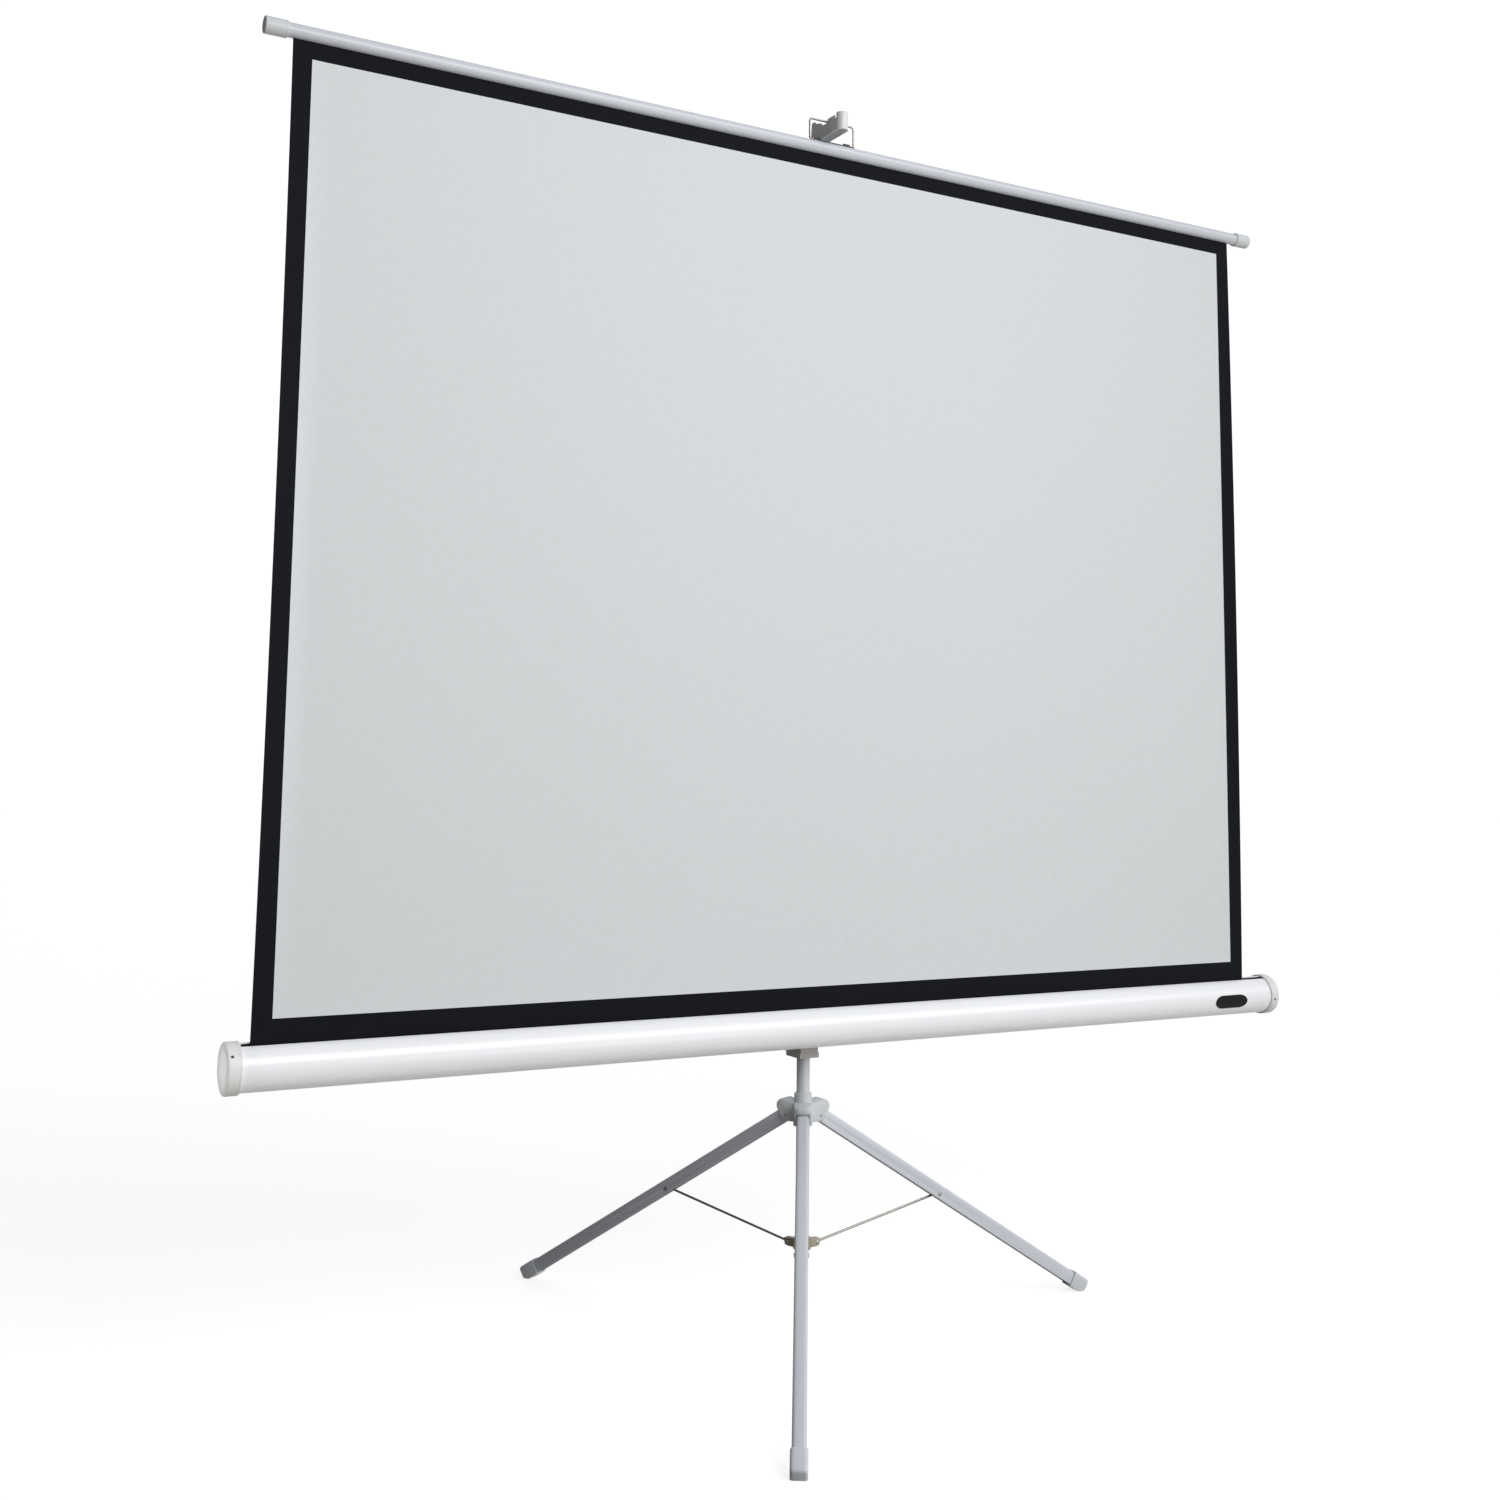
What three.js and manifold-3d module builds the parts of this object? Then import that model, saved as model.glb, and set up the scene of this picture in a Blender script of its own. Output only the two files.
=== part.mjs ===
// Tripod projection screen: a pull-up roller screen in a round case, carried on a pole with three
// folding channel legs. Millimetres, +Z up, the viewer's side is -Y.
import * as THREE from 'three';
import { mergeVertices } from 'three/addons/utils/BufferGeometryUtils.js';
import Module from 'manifold-3d';

const wasm = await Module();
wasm.setup();

// General clearances between neighbouring pieces.
const CLEARANCE = 0.3;
const RUNNING_CLEARANCE = 0.5;

// Cloth, measured over the white area and its black border.
const PICTURE_WIDTH = 2032;
const PICTURE_HEIGHT = 1557;
const BORDER_SIDE = 33;
const BORDER_TOP = 30;
const BORDER_BOTTOM = 39;
const CLOTH_THICKNESS = 0.8;
const CLOTH_SETBACK = 81.2;
const CLOTH_CURL_LEFT = 15;
const CLOTH_CURL_RIGHT = 6;
const CURL_REACH = 70;
const BEAD_RADIUS = 3;

// Case with its roller.
const CASE_RADIUS = 38;
const CASE_WALL = 1.5;
const CASE_LIP_HEIGHT = 602;
const CASE_FORWARD = 7;
const SLOT_FRONT = 5;
const SLOT_BACK = 7;
const CASE_OVERHANG_LEFT = 37;
const CASE_OVERHANG_RIGHT = 80;
const CAP_WALL = 2.7;
const CAP_DEPTH = 22;
const CAP_END = 5;
const CAP_ROUND = 4;
const ROLLER_RADIUS = 16.4;
const ROLLER_WALL = 1.2;
const WRAP_THICKNESS = 1.1;
const ROLLER_END_GAP = 12;
const ROLLER_PLUG_LENGTH = 30;
const SPINDLE_RADIUS = 4;
const SPRING_LENGTH = 300;
const SPRING_WIRE = 1.1;
const SPRING_COIL_RADIUS = 8.5;
const SPRING_TURNS = 12;

// Top batten with its wire bail.
const BATTEN_RADIUS = 12.5;
const BATTEN_WALL = 1.4;
const BATTEN_OVERHANG_LEFT = 48;
const BATTEN_OVERHANG_RIGHT = 60;
const BATTEN_CAP_WALL = 1.9;
const BATTEN_CAP_LENGTH = 38;
const BATTEN_CAP_END = 4;
const BAIL_WIRE = 2;
const BAIL_HALF_WIDTH = 50;
const BAIL_HEIGHT = 40;
const BAIL_BEND = 7;
const BAIL_FOOT = 24;
const BAIL_PLATE_HALF = 49;
const BAIL_PLATE_DEPTH = 13;
const BAIL_PLATE_THICKNESS = 2;
const KNUCKLE_WIDTH = 13;

// Hook arm on the mast head. Its heights are measured from the seat of the bail's bar.
const ARM_SHEET = 1.8;
const ARM_NOSE_REACH = 49;
const ARM_NOSE_RISE = 9.5;
const ARM_LIP_RISE = 6.5;
const ARM_REAR_RISE = 17.5;
const ARM_DROP = 26;
const ARM_SEAT_LENGTH = 12;
const ARM_SEAT_FALL = 1.5;
const ARM_REAR_GAP = 24;
const ARM_RIVET_RADIUS = 3;
const ARM_RIVET_HEAD = 1.5;
const ARM_TAIL = 34;
const ARM_RIVET_DROP = 11;
const ARM_RIVET_PITCH = 14;
const MAST_HEAD_DROP = 40;

// Glide foot of the mast and bolt that the case turns on.
const GLIDE_HEIGHT = 8;
const GLIDE_STEM = 20;
const SWIVEL_RADIUS = 4;

// Pole and mast.
const POLE_RADIUS = 12.5;
const POLE_WALL = 1.2;
const POLE_TOP = 1500;
const MAST_RADIUS = 10;
const MAST_WALL = 1.2;
const MAST_BOTTOM = 870;
const CLAMP_WALL = 4.5;
const CLAMP_GRIP = 24;
const KNOB_RADIUS = 14;

// Tripod.
const HUB_WALL = 3.8;
const HUB_HEIGHT = 394;
const HUB_PIVOT_OFFSET = 11.9;
const HUB_CHEEK = 5;
const HUB_ROUND = 3.5;
const LUG_RISE = 29.5;
const LUG_NECK_RISE = 25;
const LUG_DROP = 11;
const LUG_LIP = 4.5;
const LEG_ANGLE = THREE.MathUtils.degToRad(32.1);
const LEG_WIDTH = 23;
const LEG_BACK = 16.6;
const LEG_FRONT = 8.4;
const LEG_WALL = 1.5;
const LEG_CORNER = 7;
const RIVET_REACH = 321.7;
const ROD_ANGLE = THREE.MathUtils.degToRad(12.5);
const ROD_RADIUS = 2.3;
const ROD_TAB = 3;
const PIN_RADIUS = 2.5;
const COLLAR_WALL = 4;
const COLLAR_PIVOT_OFFSET = 13.2;
const COLLAR_PLATE = 3;
const FOOT_WALL = 2;
const FOOT_LENGTH = 40;
const FRONT_LEG_TURN = THREE.MathUtils.degToRad(-31.4);
const LEG_NAMES = ['front', 'right', 'left'];

// Case bracket.
const BUSH_WALL = 2.7;
const BRACKET_WIDTH = 38;
const BRACKET_DROP = 28;
const BRACKET_HEIGHT = 88;
const BRACKET_BACK = 30;
const BRACKET_CORNER = 6;
const BRACKET_FLANGE = 2;
const BRACKET_FLANGE_HEIGHT = 9;
const SADDLE_HALF_WIDTH = 62;
const SADDLE_HALF_HEIGHT = 26;
const LEVER_WIDTH = 22;
const LEVER_GRIP = 44;

// Derived positions.
const CLOTH_HALF = PICTURE_WIDTH / 2 + BORDER_SIDE;
const CLOTH_TOP = CASE_LIP_HEIGHT + BORDER_BOTTOM + PICTURE_HEIGHT + BORDER_TOP;
const WRAP_RADIUS = ROLLER_RADIUS + WRAP_THICKNESS;
const ROLLER_Y = -(CLOTH_SETBACK - CLOTH_THICKNESS / 2 - CLEARANCE - WRAP_RADIUS);
const CASE_Y = ROLLER_Y - CASE_FORWARD;
const SLOT_Y_FRONT = -CLOTH_SETBACK - SLOT_FRONT;
const SLOT_Y_BACK = -CLOTH_SETBACK + SLOT_BACK;
const CASE_Z = CASE_LIP_HEIGHT - Math.sqrt(CASE_RADIUS ** 2 - (SLOT_Y_FRONT - CASE_Y) ** 2);
const CASE_LEFT = -CLOTH_HALF - CASE_OVERHANG_LEFT;
const CASE_RIGHT = CLOTH_HALF + CASE_OVERHANG_RIGHT;
const BATTEN_Z = CLOTH_TOP + BATTEN_RADIUS;
const BATTEN_LEFT = -CLOTH_HALF - BATTEN_OVERHANG_LEFT;
const BATTEN_RIGHT = CLOTH_HALF + BATTEN_OVERHANG_RIGHT;
const BAIL_PLATE_Z = BATTEN_Z + BATTEN_RADIUS - 1.5;
const BAIL_FOOT_Z = BAIL_PLATE_Z + BAIL_PLATE_THICKNESS + CLEARANCE + BAIL_WIRE;
const BAIL_BAR_Z = BAIL_FOOT_Z + BAIL_HEIGHT;
const MAST_TOP = BAIL_BAR_Z - MAST_HEAD_DROP;
const ARM_SEAT = BAIL_BAR_Z - BAIL_WIRE - CLEARANCE;
const ARM_NOSE = -CLOTH_SETBACK - ARM_NOSE_REACH;
const SLEEVE_RADIUS = POLE_RADIUS + CLEARANCE + HUB_WALL;
const PIVOT_RADIUS = SLEEVE_RADIUS + HUB_PIVOT_OFFSET;
const RIVET_R = PIVOT_RADIUS + RIVET_REACH * Math.cos(LEG_ANGLE);
const RIVET_Z = HUB_HEIGHT - RIVET_REACH * Math.sin(LEG_ANGLE);
const COLLAR_RADIUS = POLE_RADIUS + CLEARANCE + COLLAR_WALL;
const COLLAR_PIVOT_R = COLLAR_RADIUS + COLLAR_PIVOT_OFFSET;
const ROD_LENGTH = (RIVET_R - COLLAR_PIVOT_R) / Math.cos(ROD_ANGLE);
const COLLAR_Z = RIVET_Z - ROD_LENGTH * Math.sin(ROD_ANGLE);
const POLE_BOTTOM = COLLAR_Z - 15;
const BUSH_RADIUS = POLE_RADIUS + CLEARANCE + BUSH_WALL;
const BRACKET_LOW = CASE_Z - CASE_RADIUS - BRACKET_DROP;
const BRACKET_TOP = BRACKET_LOW + BRACKET_HEIGHT;
const CAP_OUTER = CASE_RADIUS + CLEARANCE + CAP_WALL;
const ARM_HALF = MAST_RADIUS + CLEARANCE + ARM_SHEET;

// Strip a geometry to welded, outward-facing triangles.
function cleaned(source) {
  const bare = new THREE.BufferGeometry();
  bare.setAttribute('position', source.getAttribute('position').clone());
  if (source.index) {
    bare.setIndex(source.index.clone());
  }
  const welded = mergeVertices(bare, 1e-4);
  const faces = welded.index.array;
  const at = welded.getAttribute('position');
  const kept = [];
  const a = new THREE.Vector3();
  const b = new THREE.Vector3();
  const c = new THREE.Vector3();
  let volume = 0;
  for (let i = 0; i < faces.length; i += 3) {
    const [p, q, r] = [faces[i], faces[i + 1], faces[i + 2]];
    if (p === q || q === r || p === r) {
      continue;
    }
    kept.push(p, q, r);
    a.fromBufferAttribute(at, p);
    b.fromBufferAttribute(at, q);
    c.fromBufferAttribute(at, r);
    volume += a.dot(b.cross(c));
  }
  if (volume < 0) {
    kept.reverse();
  }
  welded.setIndex(kept);
  return welded;
}

function toSolid(geometry) {
  const clean = cleaned(geometry);
  return new wasm.Manifold(new wasm.Mesh({
    numProp: 3,
    vertProperties: new Float32Array(clean.getAttribute('position').array),
    triVerts: new Uint32Array(clean.index.array),
  }));
}

function toGeometry(solid) {
  const mesh = solid.getMesh();
  const geometry = new THREE.BufferGeometry();
  geometry.setAttribute('position', new THREE.BufferAttribute(new Float32Array(mesh.vertProperties), 3));
  geometry.setIndex(Array.from(mesh.triVerts));
  return geometry;
}

function joined(...pieces) {
  return toGeometry(pieces.map(toSolid).reduce((sum, piece) => sum.add(piece)));
}

function cut(base, ...tools) {
  return toGeometry(tools.map(toSolid).reduce((rest, tool) => rest.subtract(tool), toSolid(base)));
}

function common(base, other) {
  return toGeometry(toSolid(base).intersect(toSolid(other)));
}

// A lathe profile of [radius, height] pairs, turned about Z.
function turned(profile, segments = 24) {
  const points = profile.map(([r, h]) => new THREE.Vector2(r, h));
  return new THREE.LatheGeometry(points, segments).rotateX(Math.PI / 2);
}

function rod(radius, low, high, segments = 20) {
  return turned([[0, low], [radius, low], [radius, high], [0, high]], segments);
}

function tube(outer, inner, low, high, segments = 24) {
  return turned([[inner, low], [outer, low], [outer, high], [inner, high], [inner, low]], segments);
}

function block(x0, x1, y0, y1, z0, z1) {
  const box = new THREE.BoxGeometry(x1 - x0, y1 - y0, z1 - z0);
  return box.translate((x0 + x1) / 2, (y0 + y1) / 2, (z0 + z1) / 2);
}

// Lay a piece that was turned about Z along X or Y.
function alongX(geometry) {
  return geometry.rotateY(Math.PI / 2);
}

function alongY(geometry) {
  return geometry.rotateX(-Math.PI / 2);
}

function shapeOf(points) {
  return new THREE.Shape(points.map(([a, b]) => new THREE.Vector2(a, b)));
}

function extruded(shape, depth, curveSegments = 8) {
  return new THREE.ExtrudeGeometry(shape, { depth, bevelEnabled: false, curveSegments });
}

// A profile drawn in (y, z), swept along X between two planes.
function acrossX(shape, x0, x1, curveSegments = 8) {
  const basis = new THREE.Matrix4().makeBasis(
    new THREE.Vector3(0, 1, 0), new THREE.Vector3(0, 0, 1), new THREE.Vector3(1, 0, 0));
  return extruded(shape, x1 - x0, curveSegments).applyMatrix4(basis).translate(x0, 0, 0);
}

// A profile drawn in (reach, z), reach running towards -Y, swept across the leg's width.
function acrossLeg(shape, width, curveSegments = 8) {
  const basis = new THREE.Matrix4().makeBasis(
    new THREE.Vector3(0, -1, 0), new THREE.Vector3(0, 0, 1), new THREE.Vector3(-1, 0, 0));
  return extruded(shape, width, curveSegments).applyMatrix4(basis).translate(width / 2, 0, 0);
}

// The same sweep with its outline rounded off at both side faces.
function roundedAcrossLeg(shape, width, round) {
  const depth = width - 2 * round;
  const basis = new THREE.Matrix4().makeBasis(
    new THREE.Vector3(0, -1, 0), new THREE.Vector3(0, 0, 1), new THREE.Vector3(-1, 0, 0));
  return new THREE.ExtrudeGeometry(shape, {
    depth, curveSegments: 4, bevelThickness: round, bevelSize: round, bevelOffset: -round, bevelSegments: 2,
  }).applyMatrix4(basis).translate(depth / 2, 0, 0);
}

function crossPin(radius, length, reach, z, segments = 12) {
  return alongX(rod(radius, -length / 2, length / 2, segments)).translate(0, -reach, z);
}

const root = new THREE.Group();
root.name = 'tripod_projection_screen';

const FINISH = {
  gloss_white: [0xf1f2f3, 0.25, 0.1],
  cap_white: [0xe9eaea, 0.45, 0.0],
  leg_white: [0xd4d8dd, 0.35, 0.1],
  plastic_grey: [0xc4cacc, 0.5, 0.0],
  steel: [0x8d8a86, 0.3, 0.9],
  dark_steel: [0x2b2b2d, 0.5, 0.6],
  cloth: [0xe4e6e7, 0.9, 0.0],
  inner: [0xa9adb0, 0.5, 0.3],
};

function add(name, geometry, finish) {
  const [color, roughness, metalness] = FINISH[finish];
  const material = new THREE.MeshStandardMaterial({ color, roughness, metalness });
  const mesh = new THREE.Mesh(cleaned(geometry), material);
  mesh.name = name;
  root.add(mesh);
}

// Pole, its plug and the brace collar with three forked lugs.
function collarLug(turn) {
  const tip = COLLAR_PIVOT_R + 6;
  const root = POLE_RADIUS + CLEARANCE + 1;
  const shape = shapeOf([
    [root, COLLAR_Z - 8], [tip - 8, COLLAR_Z - 7], [tip - 2, COLLAR_Z - 5], [tip, COLLAR_Z + 6],
    [tip - 1.5, COLLAR_Z + 7.5], [root, COLLAR_Z + 8],
  ]);
  const gap = 2 * ROD_RADIUS + 2 * CLEARANCE;
  const lug = acrossLeg(shape, gap + 2 * COLLAR_PLATE);
  const fork = block(-gap / 2, gap / 2, -tip - 5, -COLLAR_RADIUS - 1, COLLAR_Z - 20, COLLAR_Z + 20);
  return cut(lug, fork).rotateZ(turn);
}

function legTurn(index) {
  return FRONT_LEG_TURN + index * 2 * Math.PI / 3;
}

function buildPole() {
  const inner = POLE_RADIUS - POLE_WALL;
  add('pole_tube', tube(POLE_RADIUS, inner, POLE_BOTTOM, POLE_TOP), 'leg_white');
  add('pole_plug', turned([
    [0, POLE_BOTTOM - 6], [POLE_RADIUS - 3, POLE_BOTTOM - 6], [POLE_RADIUS, POLE_BOTTOM - 3],
    [POLE_RADIUS, POLE_BOTTOM - CLEARANCE], [inner - CLEARANCE, POLE_BOTTOM - CLEARANCE],
    [inner - CLEARANCE, POLE_BOTTOM + 14], [0, POLE_BOTTOM + 14],
  ]), 'plastic_grey');
  const ring = rod(COLLAR_RADIUS, COLLAR_Z - 9, COLLAR_Z + 11);
  const lugs = LEG_NAMES.map((name, index) => collarLug(legTurn(index)));
  const bore = rod(POLE_RADIUS + CLEARANCE, COLLAR_Z - 30, COLLAR_Z + 30);
  add('brace_collar', cut(joined(ring, ...lugs), bore), 'steel');
}

// Clamp on the pole's mouth, with a boss for the thumb screw at the back.
function buildClamp() {
  const outer = POLE_RADIUS + CLEARANCE + CLAMP_WALL;
  const low = POLE_TOP - CLAMP_GRIP;
  const high = POLE_TOP + CLAMP_GRIP;
  const screwZ = POLE_TOP + CLAMP_GRIP / 2;
  const body = turned([
    [0, low], [outer - 1.5, low], [outer, low + 1.5], [outer, high - 3], [outer - 3, high], [0, high],
  ]);
  const boss = alongY(rod(8, 0, outer + 8, 20)).translate(0, 0, screwZ);
  const poleSeat = rod(POLE_RADIUS + CLEARANCE, low - 5, POLE_TOP + CLEARANCE);
  const mastBore = rod(MAST_RADIUS + CLEARANCE, low - 5, high + 5);
  const screwHole = alongY(rod(3 + CLEARANCE, 0, outer + 20, 16)).translate(0, 0, screwZ);
  add('mast_clamp', cut(joined(body, boss), poleSeat, mastBore, screwHole), 'plastic_grey');
  const tip = MAST_RADIUS + CLEARANCE;
  const face = outer + 8 + CLEARANCE;
  const screw = alongY(rod(3, tip, face + 4, 16)).translate(0, 0, screwZ);
  const head = alongY(turned([
    [0, face], [8, face], [KNOB_RADIUS, face + 4], [KNOB_RADIUS, face + 11], [KNOB_RADIUS - 3, face + 14],
    [0, face + 14],
  ], 24)).translate(0, 0, screwZ);
  const flutes = [];
  for (let i = 0; i < 6; i += 1) {
    const angle = i * Math.PI / 3;
    const x = (KNOB_RADIUS + 2.5) * Math.cos(angle);
    const z = (KNOB_RADIUS + 2.5) * Math.sin(angle);
    flutes.push(alongY(rod(4.5, face + 2, face + 20, 10)).translate(x, 0, screwZ + z));
  }
  add('clamp_knob', cut(joined(screw, head), ...flutes), 'dark_steel');
}

// Hub: a sleeve with three hooded lugs, each open below and outward for its leg.
function lugShape() {
  const tip = PIVOT_RADIUS + LEG_BACK + LUG_LIP;
  const foot = PIVOT_RADIUS + 9;
  const low = HUB_HEIGHT - LUG_DROP;
  const high = HUB_HEIGHT + LUG_RISE;
  const shape = new THREE.Shape();
  shape.moveTo(0, low);
  shape.lineTo(PIVOT_RADIUS + 3, low);
  shape.quadraticCurveTo(foot, low, foot + 2, low + 5);
  shape.lineTo(tip - 1, high - 17);
  shape.quadraticCurveTo(tip + 2, high - 1, PIVOT_RADIUS + 6, high);
  shape.lineTo(SLEEVE_RADIUS, HUB_HEIGHT + LUG_NECK_RISE);
  shape.lineTo(0, HUB_HEIGHT + LUG_NECK_RISE);
  return shape;
}

function legRoom() {
  const radius = LEG_BACK + RUNNING_CLEARANCE;
  const inner = SLEEVE_RADIUS + 1;
  const start = Math.acos((inner - PIVOT_RADIUS) / radius);
  const end = Math.PI / 2 - LEG_ANGLE;
  const points = [[inner, HUB_HEIGHT - 60]];
  for (let i = 0; i <= 5; i += 1) {
    const angle = start + (end - start) * i / 5;
    points.push([PIVOT_RADIUS + radius * Math.cos(angle), HUB_HEIGHT + radius * Math.sin(angle)]);
  }
  const [lastR, lastZ] = points[points.length - 1];
  points.push([lastR + 80 * Math.cos(LEG_ANGLE), lastZ - 80 * Math.sin(LEG_ANGLE)]);
  points.push([lastR + 80 * Math.cos(LEG_ANGLE), HUB_HEIGHT - 60]);
  return shapeOf(points);
}

function buildHub() {
  const width = LEG_WIDTH + 2 * RUNNING_CLEARANCE + 2 * HUB_CHEEK;
  const top = HUB_HEIGHT + 42;
  const low = HUB_HEIGHT - 18;
  const sleeve = turned([
    [0, low], [SLEEVE_RADIUS + 1.4, low], [SLEEVE_RADIUS + 1.4, low + 5], [SLEEVE_RADIUS, low + 7],
    [SLEEVE_RADIUS, top - 1.5], [SLEEVE_RADIUS - 1.5, top], [0, top],
  ]);
  let body = sleeve;
  LEG_NAMES.forEach((name, index) => {
    body = joined(body, roundedAcrossLeg(lugShape(), width, HUB_ROUND).rotateZ(legTurn(index)));
  });
  const tools = [rod(POLE_RADIUS + CLEARANCE, low - 10, top + 10)];
  LEG_NAMES.forEach((name, index) => {
    const turn = legTurn(index);
    tools.push(acrossLeg(legRoom(), LEG_WIDTH + 2 * RUNNING_CLEARANCE).rotateZ(turn));
    tools.push(crossPin(PIN_RADIUS + CLEARANCE, width + 20, PIVOT_RADIUS, HUB_HEIGHT).rotateZ(turn));
  });
  add('hub', cut(body, ...tools), 'plastic_grey');
  LEG_NAMES.forEach((name, index) => {
    const pin = crossPin(PIN_RADIUS, width - 1, PIVOT_RADIUS, HUB_HEIGHT).rotateZ(legTurn(index));
    add(`hub_pin_${name}`, pin, 'steel');
  });
}

// Legs: rounded channels, open underneath, in a frame of width, back and length.
function legFrame(geometry, index) {
  const sine = Math.sin(LEG_ANGLE);
  const cosine = Math.cos(LEG_ANGLE);
  const basis = new THREE.Matrix4().makeBasis(
    new THREE.Vector3(1, 0, 0), new THREE.Vector3(0, -sine, cosine), new THREE.Vector3(0, -cosine, -sine));
  return geometry.applyMatrix4(basis).translate(0, -PIVOT_RADIUS, HUB_HEIGHT).rotateZ(legTurn(index));
}

function archShape(half, low, high, corner) {
  const shape = new THREE.Shape();
  shape.moveTo(-half, low);
  shape.lineTo(half, low);
  shape.lineTo(half, high - corner);
  shape.quadraticCurveTo(half, high, half - corner, high);
  shape.lineTo(-half + corner, high);
  shape.quadraticCurveTo(-half, high, -half, high - corner);
  return shape;
}

function channelShape() {
  const half = LEG_WIDTH / 2;
  const inner = half - LEG_WALL;
  const corner = LEG_CORNER - LEG_WALL;
  const shape = new THREE.Shape();
  shape.moveTo(-half, -LEG_FRONT);
  shape.lineTo(-inner, -LEG_FRONT);
  shape.lineTo(-inner, LEG_BACK - LEG_CORNER);
  shape.quadraticCurveTo(-inner, LEG_BACK - LEG_WALL, -inner + corner, LEG_BACK - LEG_WALL);
  shape.lineTo(inner - corner, LEG_BACK - LEG_WALL);
  shape.quadraticCurveTo(inner, LEG_BACK - LEG_WALL, inner, LEG_BACK - LEG_CORNER);
  shape.lineTo(inner, -LEG_FRONT);
  shape.lineTo(half, -LEG_FRONT);
  shape.lineTo(half, LEG_BACK - LEG_CORNER);
  shape.quadraticCurveTo(half, LEG_BACK, half - LEG_CORNER, LEG_BACK);
  shape.lineTo(-half + LEG_CORNER, LEG_BACK);
  shape.quadraticCurveTo(-half, LEG_BACK, -half, LEG_BACK - LEG_CORNER);
  return shape;
}

// A rivet along X with a low domed head beyond each face that it joins.
function rivetOf(radius, headRadius, head, out) {
  const edge = headRadius - head / 2;
  return alongX(turned([
    [0, -out - head], [edge, -out - head], [headRadius, -out - head / 2], [headRadius, -out], [radius, -out],
    [radius, out], [headRadius, out], [headRadius, out + head / 2], [edge, out + head], [0, out + head],
  ], 12));
}

function legPin(radius, length, along, segments = 12) {
  return alongX(rod(radius, -length / 2, length / 2, segments)).translate(0, 0, along);
}

function buildLeg(name, index) {
  const start = -6;
  const floorReach = (HUB_HEIGHT - LEG_FRONT * Math.cos(LEG_ANGLE)) / Math.sin(LEG_ANGLE);
  const length = floorReach - 6;
  const rough = extruded(channelShape(), length - start, 5).translate(0, 0, start);
  const tail = alongX(tube(60, LEG_BACK, -LEG_WIDTH, LEG_WIDTH));
  const tailRoom = common(tail, block(-40, 40, 0, 60, -60, 0));
  const channel = cut(rough, tailRoom, legPin(PIN_RADIUS + CLEARANCE, 60, 0),
    legPin(PIN_RADIUS + CLEARANCE, 60, RIVET_REACH));
  add(`leg_${name}`, legFrame(channel, index), 'leg_white');

  const half = LEG_WIDTH / 2;
  const wall = FOOT_WALL + CLEARANCE;
  const footStart = length - FOOT_LENGTH + 16;
  const footEnd = length + 16;
  const outline = archShape(half + wall, -LEG_FRONT - wall, LEG_BACK + wall, LEG_CORNER);
  const shell = extruded(outline, FOOT_LENGTH, 5)
    .translate(0, 0, footStart);
  const socket = extruded(archShape(half + CLEARANCE, -LEG_FRONT - CLEARANCE, LEG_BACK + CLEARANCE,
    LEG_CORNER - 1), length + CLEARANCE - footStart + 10, 5).translate(0, 0, footStart - 10);
  const tongue = block(-half + LEG_WALL + CLEARANCE, half - LEG_WALL - CLEARANCE, -LEG_FRONT,
    LEG_BACK - LEG_CORNER, footStart + 4, length + 4);
  const foot = legFrame(joined(cut(shell, socket), tongue), index);
  const reach = PIVOT_RADIUS + footEnd;
  const aboveFloor = block(-reach, reach, -reach, reach, 0, HUB_HEIGHT);
  add(`foot_${name}`, common(foot, aboveFloor), 'cap_white');

  const rivet = rivetOf(PIN_RADIUS, PIN_RADIUS + 1.5, 1.1, half + CLEARANCE).translate(0, 0, RIVET_REACH);
  add(`leg_rivet_${name}`, legFrame(rivet, index), 'steel');
}

// Brace rods, flattened at both ends, from the leg rivets in to the collar's forks.
function buildBrace(name, index) {
  const bar = rod(ROD_RADIUS, 4, ROD_LENGTH - 4, 10);
  const outerTab = alongX(rod(6, -ROD_TAB / 2, ROD_TAB / 2, 16)).translate(0, 0, ROD_LENGTH);
  const innerTab = alongX(rod(5, -ROD_RADIUS, ROD_RADIUS, 16));
  const eye = alongX(rod(PIN_RADIUS + CLEARANCE, -10, 10, 12)).translate(0, 0, ROD_LENGTH);
  const brace = cut(joined(bar, outerTab, innerTab), eye);
  brace.rotateX(Math.PI / 2 - ROD_ANGLE).translate(0, -COLLAR_PIVOT_R, COLLAR_Z).rotateZ(legTurn(index));
  add(`brace_${name}`, brace, 'steel');
}

// Case tube, open along the cloth slot, with its caps.
function caseShape() {
  const shape = new THREE.Shape();
  const front = Math.atan2(CASE_LIP_HEIGHT - CASE_Z, SLOT_Y_FRONT - CASE_Y);
  const back = Math.acos((SLOT_Y_BACK - CASE_Y) / CASE_RADIUS);
  const inner = CASE_RADIUS - CASE_WALL;
  const count = 48;
  const sweep = 2 * Math.PI - (front - back);
  for (let i = 0; i <= count; i += 1) {
    const angle = front + sweep * i / count;
    const y = CASE_Y + CASE_RADIUS * Math.cos(angle);
    const z = CASE_Z + CASE_RADIUS * Math.sin(angle);
    if (i === 0) {
      shape.moveTo(y, z);
    } else {
      shape.lineTo(y, z);
    }
  }
  for (let i = count; i >= 0; i -= 1) {
    const angle = front + sweep * i / count;
    shape.lineTo(CASE_Y + inner * Math.cos(angle), CASE_Z + inner * Math.sin(angle));
  }
  return shape;
}

// End cap as a cup on X, its mouth facing +X before it is turned for its side.
function capShape(outer, inner, depth, end, round) {
  return [
    [0, 0], [outer - round, 0], [outer - round * 0.3, round * 0.3], [outer, round], [outer, depth],
    [inner, depth], [inner, end], [0, end],
  ];
}

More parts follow.
